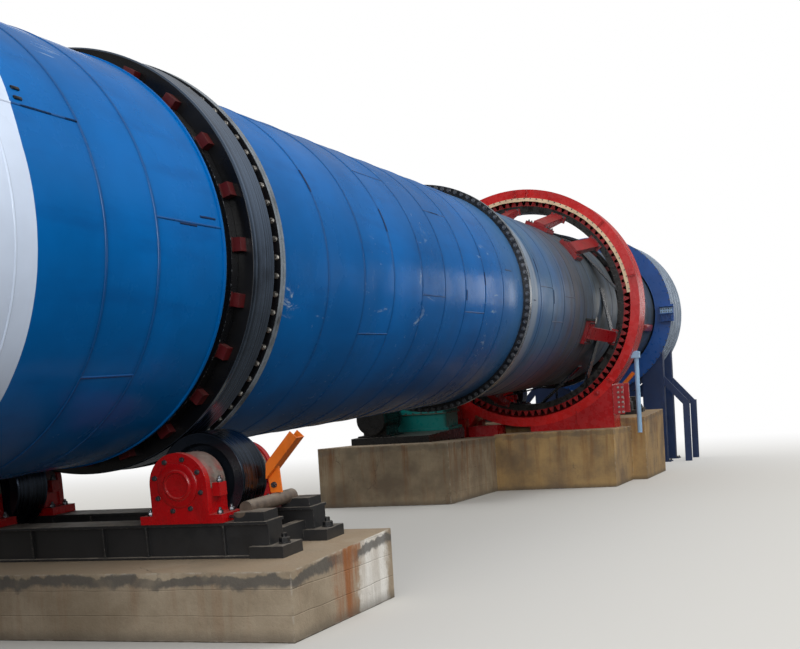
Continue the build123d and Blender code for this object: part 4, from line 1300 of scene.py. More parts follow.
    def ring_bead(self, station: float) -> Shape:
        """A low bead round the shell: a half ellipse carried round the axis.

        Args:
            station: where it lies along the axis.

        Returns:
            The closed shape.
        """
        foot = self.radius - self.bead_foot
        profile = [(station + self.bead_width / 2 * cos(t),
                    foot + self.bead_height * sin(t) * self.ring_swell)
                   for t in np.linspace(0.0, pi, self.bead_points)]
        return ring_solid(DRUM, profile, self.sides)

    def long_bead(self, start: float, end: float, angle: float) -> Shape:
        """A low bead along the shell: a half ellipse carried along it.

        Args:
            start: first station.
            end: last station.
            angle: angle from +Y towards the top, in degrees.

        Returns:
            The closed shape.
        """
        angle = radians(angle)
        turn = np.linspace(0.0, pi, self.bead_points)
        across = self.bead_width / 2 * np.cos(turn)
        over = self.bead_height * self.long_swell * np.sin(turn)
        path = DRUM.polar(np.linspace(start, end, 5), self.radius - self.bead_foot, angle)
        outward = DRUM.polar(0.0, 1.0, angle) - DRUM.polar(0.0, 0.0, angle)
        return sweep(path, np.stack([across, over], axis=1), outward)

    def welds(self) -> None:
        """All beads as one piece; the long ones step round the shell from plate to plate."""
        shapes = [self.ring_bead(station) for station in self.ring_welds]
        draw, seen = np.random.default_rng(self.seed), dict(self.seen_long_welds)
        for first, last in zip(self.ring_welds, self.ring_welds[1:]):
            if last - first > 1.0 and first not in seen:
                continue
            end = self.first_rim if first < 0.0 < last else last
            for half in (0.0, 180.0):
                drawn = 180.0 + draw.uniform(-self.weld_swing, self.weld_swing)
                shapes.append(self.long_bead(first, end, seen.get(first, drawn) + half))
        self.bead_piece("shell_weld_beads", shapes, self.bead_rub_and_shade)

    def bead_piece(self, name: str, shapes: list[Shape], darkness: float) -> None:
        """A piece of weld metal under the shell's enamel, darkened by rub marks and painted shade.
        """
        shape = joined(shapes)
        make_piece(name, shape, BEAD_BLUE, "drum", 60.0, np.full(len(shape.points), darkness))

    def rim(self) -> None:
        """The raised lip where the first section ends beside the riding ring."""
        make_piece("shell_rim_lip", ring_solid(DRUM, self.lip, self.sides), BLUE, "drum",
                   weld=np.zeros(len(self.lip) * self.sides))

    def marks(self) -> None:
        """Thick places of the long welds, short seam scars darkened as painted shadow, lifting tabs
        and the end bars.
        """
        beads = [self.long_bead(*scar) for scar in self.scars]
        for station, start, stop in self.seams:
            profile = [(station + along, radius) for along, radius in self.seam]
            beads.append(ring_solid(DRUM, profile, 10, radians(start), radians(stop)))
        self.bead_piece("shell_weld_scars", beads, self.scar_rub_and_shadow)
        for name, spots, foot, size, edge, finish in (
                ("shell_tabs", self.tabs, 1.698, self.tab_size, 0.002, FLANGE_BLACK),
                ("shell_end_bars", self.end_bars, 1.695, self.end_bar_size, 0.006, CARRIER_RED)):
            station, angle = np.array(spots).T
            stamps = block(*size, edge).stamped(DRUM.mounts(station, foot, np.radians(angle)))
            make_piece(name, stamps, finish, "drum")

    def build(self) -> None:
        """Makes every piece of the shell."""
        for section in self.sections:
            self.skin(*section)
        self.welds()
        self.rim()
        self.marks()


@dataclass
class BoltCircle:
    """Fasteners on a face square to the drum axis."""

    name: str
    station: float
    radius: float
    count: int
    bolt: Fastener
    body: str = "root"
    outward: float = -1.0
    arc: tuple[float, float] = (0.0, 2 * pi)
    finish: Finish = DARK_BOLT

    def build(self) -> None:
        """Stamps a bolt at even angles, its head looking along the axis."""
        start, stop = self.arc
        turn = start + (stop - start) * (np.arange(self.count) + 0.5) / self.count
        points = DRUM.polar(self.station, self.radius, turn)
        make_piece(self.name, self.bolt.at(points, self.outward * DRUM.along, DRUM.up), self.finish,
                   self.body)


@dataclass
class RidingRings:
    """Riding rings, necks, retaining blocks and the bolted flanges."""

    bolt_radius: float = 1.766
    flanges: tuple[tuple[float, float, int, float, Finish], ...] = (
        (0.26, 0.344, 72, 0.040, ZINC), (8.507, 8.626, 100, 0.055, DARK_BOLT))
    bolt_height: float = 0.026
    rings: tuple[float, ...] = (0.0, 17.2)
    blocks: int = 24
    block_foot: tuple[float, float] = (0.26, 1.6495)
    block_bead: tuple[float, float, float] = (0.022, 0.12, 0.012)

    def block_welds(self) -> None:
        """Fillet welds at the outer foot of each retaining block: wedges 12 mm high."""
        turn = np.arange(self.blocks) * 2 * pi / self.blocks
        reach, radius = self.block_foot
        bead = block(*self.block_bead, 0.005)
        make_piece("retaining_block_welds", [
            bead.stamped(DRUM.mounts(ring + outward * reach, radius, turn))
            for ring in self.rings for outward in (-1.0, 1.0)], SHADED_BLOCK_RED, "drum")

    def build(self) -> None:
        """Dresses the solids and bolts the flanges."""
        dress(RING_STEEL, "riding_ring_1", "riding_ring_2")
        dress(FLANGE_BLACK, "ring_neck_1", "ring_neck_2", "flange_joint_1", "flange_joint_2")
        dress(SHADED_BLOCK_RED, "retaining_blocks_1", "retaining_blocks_2")
        self.block_welds()
        for number, (front, rear, count, flats, finish) in enumerate(self.flanges, start=1):
            bolt = Fastener(flats, self.bolt_height)
            nut = replace(bolt, head=Head.STUD)
            heads = BoltCircle(f"flange_{number}_bolt_heads", front, self.bolt_radius, count, bolt,
                               "drum", finish=finish)
            heads.build()
            replace(heads, name=f"flange_{number}_nuts", station=rear, bolt=nut,
                    outward=1.0).build()


@dataclass
class GearGuard:
    """The girth gear's guard with its seal strip, splices and stand."""

    front: float = 14.74
    back: float = 15.46
    strip: tuple[float, float] = (2.276, 2.348)
    strip_face: tuple[float, float] = (14.727, 14.7395)
    strip_arc: tuple[float, float] = (24.0, 176.0)
    strip_bolts: int = 46
    strip_bolt_radius: float = 2.334
    splices: tuple[float, ...] = (222.0, 168.0, 138.0, 96.0, 90.0, 48.0, 6.0)
    splice_foot: float = 2.362
    splice_size: tuple[float, float, float] = (0.034, 0.018, 0.15)
    splice_gap: float = 0.006
    splice_bolts: tuple[float, ...] = (2.385, 2.44, 2.495)
    small_plate: tuple[float, float] = (2.41, 166.7)
    small_plate_size: tuple[float, float, float] = (0.010, 0.15, 0.11)
    small_bolt: Fastener = Fastener(0.022, 0.010)
    end_bolt: Fastener = Fastener(0.04, 0.022)
    end_sides: tuple[float, float] = (-2.075, -1.838)
    end_rises: tuple[float, float] = (-2.37, -1.735)
    end_thickness: float = 0.024
    end_web: tuple[float, float] = (-1.858, -1.838)
    end_bolt_sides: tuple[float, ...] = (-1.96, -2.045)
    end_bolt_rises: tuple[float, float, int] = (-2.32, -1.80, 6)
    rib_sides: tuple[float, float] = (-1.052, -1.028)
    rib_rises: tuple[float, float] = (-2.53, -2.25)
    lug_place: tuple[float, float] = (-1.505, -1.893)
    lug: tuple[tuple[float, float], ...] = (
        (-0.004, 0.062), (0.012, 0.062), (0.016, 0.058), (0.016, 0.03), (0.034, 0.028),
        (0.036, 0.022))

    def seal_strip(self) -> None:
        """The strip: a flat band carried round the axis, its inner edge r + 3 mm of two sines."""
        turn = np.radians(np.linspace(*self.strip_arc, 160))[:, None]
        wave = 0.003 * np.sin(23 * turn) + 0.002 * np.sin(61 * turn + 1.0)
        front, back = self.strip_face
        stations = np.array([[front, front, back, back]])
        radii = np.where([[True, False, False, True]], self.strip[0] + wave, self.strip[1])
        piece = make_piece("guard_strip_band", loft(DRUM.polar(stations, radii, turn)), FELT)
        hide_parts("guard_seal_strip")
        BoltCircle("guard_strip_bolts", self.front - 0.012, self.strip_bolt_radius,
                   self.strip_bolts, self.small_bolt,
                   arc=tuple(map(radians, self.strip_arc))).build()

    def splice_flanges(self) -> None:
        """Paired flanges where the guard's sections meet, with three bolts, and a small plate."""
        turn = np.radians(self.splices)
        both = np.concatenate([turn - self.splice_gap, turn + self.splice_gap])
        foot, angle = self.small_plate
        make_piece("guard_splices", [
            block(*self.splice_size, 0.002).stamped(
                DRUM.mounts(self.front - 0.016, self.splice_foot, both)),
            block(*self.small_plate_size, 0.002).stamped(
                DRUM.mounts(self.front - 0.004, foot, radians(angle)))], GUARD_RED)
        radii = np.tile(self.splice_bolts, len(turn))
        side = DRUM.mounts(self.front - 0.018, radii,
                           np.repeat(turn, len(self.splice_bolts)) + 0.0098)
        make_piece("guard_splice_bolts",
                   self.small_bolt.at(side[:, :3, 3], side[:, :3, 1], DRUM.along), DARK_BOLT)

    def stand(self) -> None:
        """The stand's bolted end, its rib and its round lug."""
        front, back, sides, rises = self.front, self.back, self.end_sides, self.end_rises
        half = self.end_thickness / 2
        make_piece("stand_end_flange", [
            plate((front - half, front + half), sides, rises),
            plate((front + 0.01, back - 0.02), self.end_web, rises),
            plate((back - 0.03, back - 0.006), sides, rises)], END_RED)
        lug = facing(DRUM.world(front, *self.lug_place), -DRUM.along, DRUM.up)
        make_piece("stand_fittings", [
            plate((front - 0.016, front + 0.02), self.rib_sides, self.rib_rises),
            turned(self.lug, 28).stamped(lug)], STAND_RED)
        points = [DRUM.world(front - half, side, np.linspace(*self.end_bolt_rises))
                  for side in self.end_bolt_sides]
        make_piece("stand_end_bolts", self.end_bolt.at(points, -DRUM.along, DRUM.up), ZINC)

    def build(self) -> None:
        """Dresses the guard's solids and adds its fittings."""
        dress(GUARD_RED, "gear_guard", "pinion_cover")
        dress(STAND_RED, "guard_stand", "grease_tray")
        self.seal_strip()
        self.splice_flanges()
        self.stand()


@dataclass
class GirthDrive:
    """Girth gear, its carriers and springs, pinion, gearbox and motor."""

    carriers: tuple[float, ...] = (20.0, 55.0, 88.0, 116.0, 143.0, 201.0, 287.0, 325.0)
    foot_stations: tuple[float, ...] = (13.47, 13.68, 13.89)
    foot_radius: float = 1.7685
    head_station: float = 14.74
    head_radii: tuple[float, ...] = (2.012, 2.098)
    carrier_nut: Fastener = Fastener(0.046, 0.03, Head.STUD)
    carrier_bolt: Fastener = Fastener(0.046, 0.026)
    clamp: tuple[float, float] = (13.33, 192.5)
    drive_axis: tuple[float, float] = (1.722, -2.052)
    box_bolt: Fastener = Fastener(0.034, 0.02)
    box_top: float = 0.51
    joint: tuple[tuple[float, float], tuple[float, float]] = ((13.170, 14.056), (1.352, 2.838))
    joint_half: float = 0.007
    joint_bolt_stations: tuple[float, float, int] = (13.25, 13.98, 6)
    joint_bolt_sides: tuple[float, float, int] = (1.42, 2.77, 9)
    joint_bolt_ends: tuple[float, float, float, float] = (1.372, 2.818, 13.185, 14.04)
    box_foot_sides: tuple[float, float] = (1.36, 2.83)
    box_foot_drop: float = 0.305
    lid_plate: tuple[tuple[float, float], tuple[float, float]] = ((13.36, 13.86), (1.81, 2.39))
    lid_bolts: tuple[tuple[float, ...], tuple[float, ...]] = ((13.42, 13.61, 13.80), (1.86, 2.34))
    lid_eyes: tuple[tuple[float, ...], tuple[float, ...]] = ((13.26, 13.96), (1.55, 2.64))
    breather_place: tuple[float, float] = (13.6, 2.1)
    breather: tuple[tuple[float, float], ...] = (
        (0.0, 0.05), (0.06, 0.05), (0.065, 0.07), (0.10, 0.07), (0.115, 0.05))
    motor: tuple[float, float, float] = (11.853, 12.833, 2.5)
    fin_foot: float = 0.289
    fin_section: tuple[float, float] = (0.008, 0.026)
    hoop: tuple[tuple[float, float], ...] = (
        (-0.012, 0.286), (-0.012, 0.302), (0.012, 0.302), (0.012, 0.286))
    coupling_face: float = 14.0755
    coupling_bolts: tuple[int, float] = (12, 0.155)

    def carrier_details(self) -> None:
        """Foot bolts and head bolts of the carriers, and the clamp beside one of them."""
        turn = np.radians(self.carriers)
        feet = [DRUM.mounts(station, self.foot_radius, turn + offset)
                for station in self.foot_stations for offset in (-0.112, 0.112)]
        heads = [DRUM.polar(self.head_station, radius, turn + offset)
                 for radius in self.head_radii for offset in (-0.052, 0.052)]
        make_piece("carrier_bolts",
                   [self.carrier_nut.shape().stamped(np.concatenate(feet)),
                    self.carrier_bolt.at(heads, -DRUM.along, DRUM.up)], DARK_BOLT, "drum")
        station, angle = self.clamp
        for name, size, radius, finish in (("stem", (0.05, 0.05, 0.21, 0.004), 1.698, BLACK),
                                           ("bar", (0.06, 0.13, 0.028, 0.006), 1.90, ZINC)):
            make_piece(f"shell_clamp_{name}",
                       block(*size).stamped(DRUM.mounts(station, radius, radians(angle))), finish,
                       "drum")

    def gearbox_details(self) -> None:
        """The joint's bolts and rusted edge, cover plate, breather, lifting eyes and foot bolts."""
        rise = self.drive_axis[1]
        make_piece("gearbox_joint", plate(
            *self.joint, (rise - self.joint_half, rise + self.joint_half), 0.001), SEAM_BROWN)
        stations = np.linspace(*self.joint_bolt_stations)
        sides = np.linspace(*self.joint_bolt_sides)
        near, far, front, back = self.joint_bolt_ends
        top = rise + self.box_top
        cover = top + 0.016
        points = [DRUM.world(stations, side, rise + 0.02) for side in (near, far)]
        points += [DRUM.world(station, sides, rise + 0.02) for station in (front, back)]
        points += [DRUM.world(stations[[0, 2, 3, 5]], side, rise - self.box_foot_drop)
                   for side in self.box_foot_sides]
        bolt_stations, bolt_sides = self.lid_bolts
        points += [DRUM.world(station, side, cover)
                   for station in bolt_stations for side in bolt_sides]
        make_piece("gearbox_bolts", self.box_bolt.at(points, DRUM.up, DRUM.along), DARK_BOLT)
        lid = [plate(*self.lid_plate, (top - 0.002, cover)),
               turned(self.breather, 20).stamped(
                   facing(DRUM.world(*self.breather_place, cover), DRUM.up, DRUM.along))]
        eye_stations, eye_sides = self.lid_eyes
        lid += [plate((station - 0.012, station + 0.012), (side - 0.06, side + 0.06),
                      (top - 0.004, top + 0.09), 0.01)
                for station in eye_stations for side in eye_sides]
        make_piece("gearbox_lid", lid, TEAL)

    def motor_details(self) -> None:
        """Cooling fins along the motor's body, its fan cowl's ribs and the coupling's bolts."""
        start, end, side = self.motor
        axis = TurningFrame(tuple(DRUM.world(0.0, side, self.drive_axis[1]).tolist()))
        angles = np.radians([angle for angle in range(-40, 221, 8) if not 66 < angle < 114])
        fin = block(end - start - 0.36, *self.fin_section, 0.001)
        fins = [fin.stamped(axis.mounts((start + end) / 2 + 0.02, self.fin_foot, angles))]
        fins += [ring_solid(axis, [(middle + along, radius) for along, radius in self.hoop], 48)
                 for middle in (start + 0.17, end - 0.13, start + 0.02)]
        make_piece("motor_fins", fins, BLACK)
        coupling = TurningFrame(tuple(DRUM.world(0.0, *self.drive_axis).tolist()))
        count, radius = self.coupling_bolts
        points = coupling.polar(self.coupling_face, radius, np.arange(count) * pi / 6)
        make_piece("coupling_bolts", self.box_bolt.at(points, -DRUM.along, DRUM.up), DARK_BOLT,
                   "pinion")

    def build(self) -> None:
        """Dresses the solids of the drive and adds its fittings."""
        dress(TEETH, "girth_gear", "pinion")
        dress(CARRIER_RED, "gear_carriers")
        dress(SPRING_STEEL, "spring_plates")
        dress(BEARING_RED, "pinion_bearings")
        dress(TEAL, "gearbox")
        dress(BLACK, "motor", "motor_coupling", "drive_base", "pinion_coupling")
        self.carrier_details()
        self.gearbox_details()
        self.motor_details()


@dataclass
class RollerStation:
    """Two support rollers with their bearings, base frame and block holders."""

    number: int
    middle: float
    side: float = 1.13325
    drop: float = 1.88604
    beam: float = 0.40
    beam_foot: tuple[float, float] = (-2.4915, -2.470)
    cap_face: float = 0.56
    cover: tuple[tuple[float, float], ...] = (
        (-0.004, 0.182), (0.008, 0.182), (0.012, 0.176), (0.012, 0.128), (0.020, 0.122),
        (0.024, 0.112), (0.024, 0.104), (0.014, 0.098), (0.014, 0.03), (0.012, 0.02))
    cap_bolts: tuple[int, float] = (8, 0.215)
    lug_nuts: tuple[float, float] = (0.40, 0.290)
    foot_drop: float = 0.246
    foot_stations: tuple[float, ...] = (0.31, 0.49)
    foot_reach: float = 0.325
    stiffeners: tuple[float, ...] = (-1.50, -0.78, -0.36, 0.36, 0.78, 1.50)
    beam_half: tuple[float, float] = (0.148, 1.728)
    anchor_place: tuple[float, float] = (1.962, -2.397)
    screw_place: tuple[float, float] = (1.592, -2.165)
    screw: tuple[tuple[float, float], ...] = ((0.0, 0.014), (0.07, 0.014), (0.074, 0.011))
    pivot_place: tuple[float, float] = (1.63, -1.985)
    pivot_ends: tuple[float, float] = (0.1195, 0.1415)
    cap_bolt: Fastener = Fastener(0.034, 0.02)
    foot_nut: Fastener = Fastener(0.042, 0.03, Head.STUD)
    anchor: Fastener = Fastener(0.078, 0.05, Head.STUD)
    screw_head: Fastener = Fastener(0.036, 0.02)
    pivot: Fastener = Fastener(0.042, 0.024)

    def caps(self) -> None:
        """Turned covers on the bearing caps with their bolts, and nuts on lugs and feet."""
        cover, covers, bolts, upright = turned(self.cover, 56), [], [], []
        count, circle_radius = self.cap_bolts
        turn = np.arange(count) * pi / 4 + 0.3
        rise, (lug, lug_reach) = -self.drop, self.lug_nuts
        ends = [(hand.value * self.side, outward) for hand in Hand for outward in (-1.0, 1.0)]
        for side, outward in ends:
            face, looks = self.middle + outward * self.cap_face, outward * DRUM.along
            covers.append(cover.stamped(facing(DRUM.world(face, side, rise), looks, DRUM.up)))
            ring = DRUM.world(face, side + circle_radius * np.cos(turn),
                              rise + circle_radius * np.sin(turn))
            bolts.append(facing(ring, looks, DRUM.up))
            upright += [DRUM.world(self.middle + outward * lug, side + reach, rise)
                        for reach in (-lug_reach, lug_reach)]
            upright += [DRUM.world(self.middle + outward * station, side + reach,
                                   rise - self.foot_drop)
                        for reach in (-self.foot_reach, self.foot_reach)
                        for station in self.foot_stations]
        make_piece(f"bearing_covers_{self.number}", covers, BEARING_RED)
        make_piece(f"bearing_bolts_{self.number}", [
            self.cap_bolt.shape().stamped(np.concatenate(bolts)),
            self.foot_nut.at(upright, DRUM.up, DRUM.along)], DARK_BOLT)

    def frame_details(self) -> None:
        """Foot nuts, stop screws, bottom flanges and stiffeners of the base frame."""
        anchors, screws, steel = [], [], []
        across, along = self.beam_half
        (anchor, anchor_rise), (screw, screw_rise) = self.anchor_place, self.screw_place
        for end in (-1.0, 1.0):
            beam = self.middle + end * self.beam
            steel.append(plate((beam - across, beam + across), (-along, along), self.beam_foot))
            steel += [plate((beam + face * 0.113, beam + face * 0.146),
                            (side - 0.007, side + 0.007), (-2.472, -2.2275), 0.002)
                      for face in (-1.0, 1.0) for side in self.stiffeners]
            for hand in Hand:
                anchors.append(DRUM.world(beam, hand.value * anchor, anchor_rise))
                screws += [DRUM.world(beam + shift, hand.value * screw, screw_rise)
                           for shift in (-0.055, 0.055)]
        make_piece(f"frame_anchors_{self.number}", self.anchor.at(anchors, DRUM.up, DRUM.along),
                   BLACK)
        inward = np.array([[0.0, -np.sign(point[1]), 0.0] for point in screws])
        shape = self.screw_head.shape() + turned(self.screw, 12)
        make_piece(f"frame_screws_{self.number}", shape.stamped(facing(screws, inward, DRUM.along)),
                   DARK_BOLT)
        make_piece(f"frame_plates_{self.number}", steel, FRAME_BLACK)

    def holder_pivots(self) -> None:
        """The bolt through each block holder's ear, with its nut behind."""
        side, rise = self.pivot_place
        head, nut = ([DRUM.world(self.middle + reach, hand.value * side, rise) for hand in Hand]
                     for reach in self.pivot_ends)
        make_piece(f"holder_pivots_{self.number}", [
            self.pivot.at(head, -DRUM.along, DRUM.up),
            replace(self.pivot, head=Head.STUD).at(nut, DRUM.along, DRUM.up)], DARK_BOLT)

    def build(self) -> None:
        """Dresses the station's solids and adds its fittings."""
        dress(HOUSING_RED, f"bearing_housings_{self.number}")
        dress(FRAME_BLACK, f"base_frame_{self.number}")
        dress(ORANGE, f"block_holders_{self.number}")
        for hand in Hand:
            axis = TurningFrame(tuple(DRUM.world(0.0, hand.value * self.side, -self.drop).tolist()))
            name = f"roller_{self.number}_{hand.name.lower()}"
            # the bluish steel and bluish black sides partly paint the rollers' bluish highlights
            dress(MachinedSteel(f"turned steel {name}", "rolling_steel", "#4A5462", side="#10141A",
                                turning=axis, rim=0.39, roughness=0.24), f"support_{name}")
        self.caps()
        self.frame_details()
        self.holder_pivots()


@dataclass
class EndHood:
    """A hood at a drum end with its frame."""

    end: str
    face: float
    outward: float
    wall: float = 2.137
    rim_radius: float = 2.158
    rim_bolts: int = 72
    rim_bolt: Fastener = Fastener(0.03, 0.016)
    length: float = 2.27
    hoop_shares: tuple[float, ...] = (0.25, 0.5, 0.75)
    hoop_angle: tuple[tuple[float, float], ...] = (
        (-0.03, -0.002), (-0.03, 0.008), (-0.006, 0.008), (-0.006, 0.038), (0.006, 0.038),
        (0.006, -0.002))
    leg_inset: float = 0.26
    leg_side: float = 1.55
    leg_nut: Fastener = Fastener(0.05, 0.03, Head.STUD)
    door_bolt: Fastener = Fastener(0.03, 0.018)
    door_rise: float = 0.55
    door_circle: float = 0.312
    door_bolts: int = 16
    door: tuple[tuple[float, float], ...] = (
        (-0.003, 0.34), (0.012, 0.34), (0.015, 0.335), (0.015, 0.29), (0.032, 0.28),
        (0.034, 0.27))
    rib_sides: tuple[float, float] = (-0.75, 0.75)
    rib_half: tuple[float, float] = (0.02, 1.3)
    foot_pattern: tuple[float, float, float] = (0.2, 0.35, 0.025)

    def hoops(self) -> None:
        """Angle hoops round the wall: an L carried round the axis three times."""
        hoops = []
        for share in self.hoop_shares:
            s = self.face + self.outward * share * self.length
            profile = [(s + along, self.wall + out) for along, out in self.hoop_angle]
            hoops.append(ring_solid(DRUM, profile, 144))
        make_piece(f"{self.end}_hood_hoops", hoops, HOOD_GREY)

    def anchors(self) -> None:
        """Anchor nuts on the foot plates of the hood's legs."""
        (reach, span, top), points = self.foot_pattern, []
        for inset in (self.leg_inset, self.length - self.leg_inset):
            x = DRUM.world(self.face + self.outward * inset, 0.0, -self.wall)[0]
            points += [np.array([x + dx, hand.value * self.leg_side + dy, top])
                       for hand in Hand for dx in (-reach, reach) for dy in (-span, span)]
        make_piece(f"{self.end}_hood_anchors",
                   self.leg_nut.at(points, (0.0, 0.0, 1.0), (1.0, 0.0, 0.0)), DARK_BOLT)

    def back_details(self) -> None:
        """A bolted manhole and two upright ribs on the hood's back plate."""
        back, rise = self.face + self.outward * self.length, self.outward * self.door_rise
        outward = self.outward * DRUM.along
        place = facing(DRUM.world(back, 0.0, rise), outward, DRUM.up)
        shapes = [turned(self.door, 48).stamped(place)]
        ends = tuple(sorted((back - self.outward * 0.003, back + self.outward * 0.02)))
        across, over = self.rib_half
        shapes += [plate(ends, (side - across, side + across), (-over, over), 0.004)
                   for side in self.rib_sides]
        make_piece(f"{self.end}_hood_door", shapes, HOOD_GREY)
        y, z = circle(self.door_circle, self.door_bolts)[0].T
        points = DRUM.world(back + self.outward * 0.014, y, rise + z)
        make_piece(f"{self.end}_hood_door_bolts", self.door_bolt.at(points, outward, DRUM.up),
                   DARK_BOLT)

    def build(self) -> None:
        """Dresses the hood's solids and adds its fittings."""
        dress(FACE_BLUE, f"{self.end}_hood_face")
        dress(NAVY, f"{self.end}_hood_frame")
        dress(HOOD_GREY, f"{self.end}_hood_wall", f"{self.end}_hood_back")
        BoltCircle(f"{self.end}_hood_bolts", self.face, self.rim_radius, self.rim_bolts,
                   self.rim_bolt, outward=-self.outward).build()
        self.hoops()
        self.anchors()
        self.back_details()


@dataclass
class FeedHatch:
    """The hatch on the feed hood's face, and the drain pipe beside the guard."""

    front: float = 22.165
    bolt: Fastener = Fastener(0.03, 0.014)
    shelf: tuple[tuple[float, float], tuple[float, float]] = ((22.085, 22.195), (-2.262, -1.872))
    shelf_rises: tuple[float, float] = (0.085, -0.115)
    shelf_thickness: float = 0.016
    brackets: tuple[float, ...] = (-2.2, -2.067, -1.934)
    bracket_size: tuple[tuple[float, float], tuple[float, float]] = (
        (22.10, 22.195), (-0.27, -0.115))
    pale_plate: tuple[tuple[float, float], ...] = (
        (22.165, 22.1885), (-2.235, -1.90), (-0.085, 0.07))
    bolt_sides: tuple[float, float, int] = (-2.20, -1.935, 5)
    bolt_rises: tuple[float, float] = (-0.045, 0.03)

    def build(self) -> None:
        """Dresses both solids and adds two shelf plates with a drilled pale plate between them."""
        dress(PIPE_BLUE, "guard_drain_pipe")
        dress(FACE_BLUE, "feed_hood_hatch")
        shelves = [plate(*self.shelf, (rise, rise + self.shelf_thickness))
                   for rise in self.shelf_rises]
        stations, rises = self.bracket_size
        shelves += [plate(stations, (side - 0.008, side + 0.008), rises) for side in self.brackets]
        make_piece("hatch_shelves", shelves, FACE_BLUE)
        make_piece("hatch_plate", plate(*self.pale_plate), PIPE_BLUE)
        points = [DRUM.world(self.front, np.linspace(*self.bolt_sides), rise)
                  for rise in self.bolt_rises]
        make_piece("hatch_bolts", self.bolt.at(points, -DRUM.along, DRUM.up), DARK_BOLT)


@dataclass
class Foundations:
    """The concrete piers."""

    def build(self) -> None:
        """Dresses the piers."""
        dress(PIER_CONCRETE, "pier_1")
        dress(TALL_CONCRETE, "pier_2")
        dress(DRIVE_CONCRETE, "drive_pier")


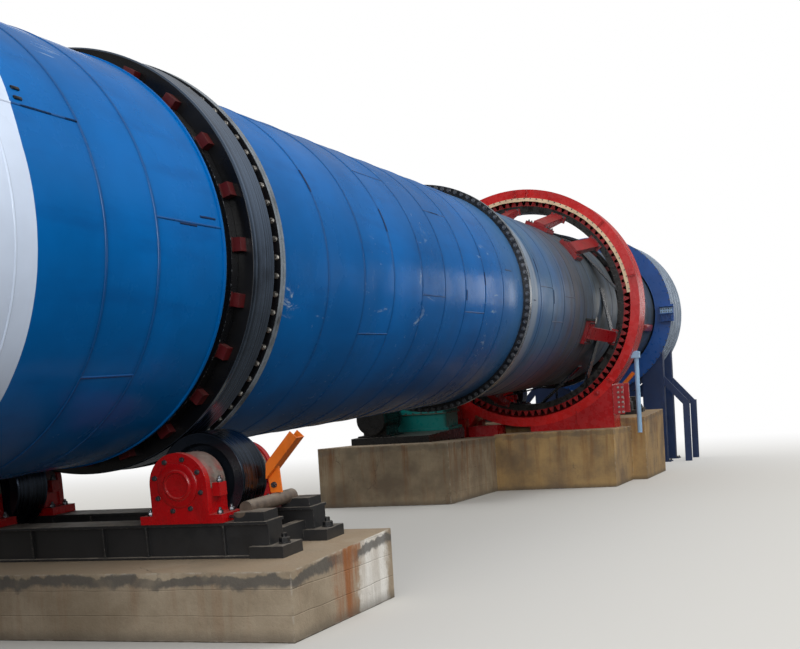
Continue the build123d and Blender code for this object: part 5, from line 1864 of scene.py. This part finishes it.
@dataclass
class Studio:
    """Camera, floor, world and lamps."""

    image_width: int = 800
    image_height: int = 649
    focal_px: float = 1090.6
    middle_px: tuple[float, float] = (473.86, 459.44)
    station: float = -8.1175
    side: float = -6.1132
    rise: float = -1.0914
    yaw: float = 18.07
    pitch: float = -4.98
    roll: float = -4.21
    low_light: float = 0.08
    high_light: float = 1.25
    gloss_share: float = 0.22

    def camera(self) -> None:
        """Places the camera from its solved yaw, pitch and roll in the drum's frame."""
        yaw, pitch, roll = (radians(v) for v in (self.yaw, self.pitch, self.roll))
        ahead = np.array([cos(yaw) * cos(pitch), sin(yaw) * cos(pitch), sin(pitch)])
        right = np.array([sin(yaw), -cos(yaw), 0.0])
        over = np.cross(right, ahead)
        right, over = cos(roll) * right + sin(roll) * over, -sin(roll) * right + cos(roll) * over
        basis = np.stack([DRUM.along, [0.0, 1.0, 0.0], DRUM.up], axis=1)
        columns = [basis @ v for v in (right, over, -ahead)]
        place = DRUM.world(self.station, self.side, self.rise)
        pose = np.eye(4)
        pose[:3, :3] = np.stack(columns, axis=1)
        pose[:3, 3] = place
        data = bpy.data.cameras.new("camera")
        data.sensor_width = 36.0
        data.lens = self.focal_px / self.image_width * data.sensor_width
        data.shift_x = (self.image_width / 2 - self.middle_px[0]) / self.image_width
        data.shift_y = (self.middle_px[1] - self.image_height / 2) / self.image_width
        data.clip_end = 500.0
        camera = bpy.data.objects.new("camera", data)
        camera.matrix_world = Matrix(pose.tolist())
        bpy.context.scene.collection.objects.link(camera)
        bpy.context.scene.camera = camera

    def floor(self) -> None:
        """A wide level disc just under the piers."""
        ring = circle(160.0, 64)[0]
        rows = np.stack([np.column_stack([ring, np.full(64, z)]) for z in (-0.05, -0.001)])
        shape = loft(rows)
        mesh = bpy.data.meshes.new("floor")
        mesh.from_pydata(shape.points.tolist(), [],
                         [face.tolist() for group in shape.groups for face in group])
        mesh.materials.append(FLOOR.material())
        floor = bpy.data.objects.new("floor", mesh)
        bpy.context.scene.collection.objects.link(floor)

    def world(self) -> None:
        """A hall's soft light, strong from above and weak from the sides, white to the camera."""
        world = bpy.data.worlds.new("studio")
        bpy.context.scene.world = world
        world.use_nodes = True
        on = Painter(world.node_tree, "Generated")
        light = on.add(STEP, on.height(), 0.0, 0.55, self.low_light, self.high_light)
        camera, gloss, clear = (on.add(RAY, output=f"Is {kind} Ray")
                                for kind in ("Camera", "Glossy", "Transmission"))
        light = on.add(TIMES, light, on.add(RANGE, gloss, 1.0, self.gloss_share))
        seen = on.add(LARGER, on.add(LARGER, camera, clear), on.add(TIMES, gloss, MIRRORED_SHARE))
        background = on.tree.nodes["Background"].inputs
        on.feed(background["Strength"], on.add(RANGE, seen, light, 1.0))
        on.feed(background["Color"], WHITE)

    def lamp(self, name: str, place: tuple[float, float, float], target: tuple[float, float, float],
             size: tuple[float, float], power: float, shines: bool = True) -> None:
        """One soft rectangular lamp that looks at a point.

        Args:
            name: the lamp's name.
            place: where it hangs.
            target: the point that it looks at.
            size: width and height.
            power: watts.
            shines: whether gloss shows it.
        """
        data = bpy.data.lights.new(name, "AREA")
        data.shape = "RECTANGLE"
        data.size, data.size_y = size
        data.energy = power
        lamp = bpy.data.objects.new(name, data)
        lamp.location = place
        lamp.visible_glossy = shines
        lamp.rotation_euler = (Vector(target) - Vector(place)).to_track_quat("-Z", "Y").to_euler()
        bpy.context.scene.collection.objects.link(lamp)

    def build(self) -> None:
        """Sets the stage."""
        bpy.context.scene.view_settings.view_transform = "Standard"
        self.camera()
        self.floor()
        self.world()
        self.lamp("near_roof_light", (6.0, -18.0, 17.0), (6.0, 0.0, 3.0), (44.0, 10.0), 2800.0,
                  shines=False)
        self.lamp("end_window", (-26.0, -14.0, 7.0), (4.0, 0.0, 2.0), (22.0, 10.0), 2600.0)
        self.lamp("low_end_light", (-38.0, -7.0, 6.5), (2.0, -0.5, 1.2), (20.0, 7.0), 3100.0)
        self.lamp("far_window", (38.0, -10.0, 6.2), (10.0, 0.0, 3.0), (5.0, 5.0), 160.0)
        self.lamp("back_roof_light", (10.0, 18.0, 15.0), (10.0, 0.0, 3.0), (36.0, 8.0), 900.0)


def main() -> None:
    """Builds the stage and every sub-assembly, in order."""
    logging.basicConfig(level=logging.INFO, format="%(name)s %(message)s")
    Studio().build()
    DrumShell().build()
    RidingRings().build()
    GearGuard().build()
    GirthDrive().build()
    for number, ring in enumerate(RidingRings().rings, start=1):
        RollerStation(number, ring).build()
    EndHood("feed", 22.32, 1.0).build()
    EndHood("discharge", -5.47, -1.0).build()
    FeedHatch().build()
    Foundations().build()


if __name__ == "__main__":
    main()
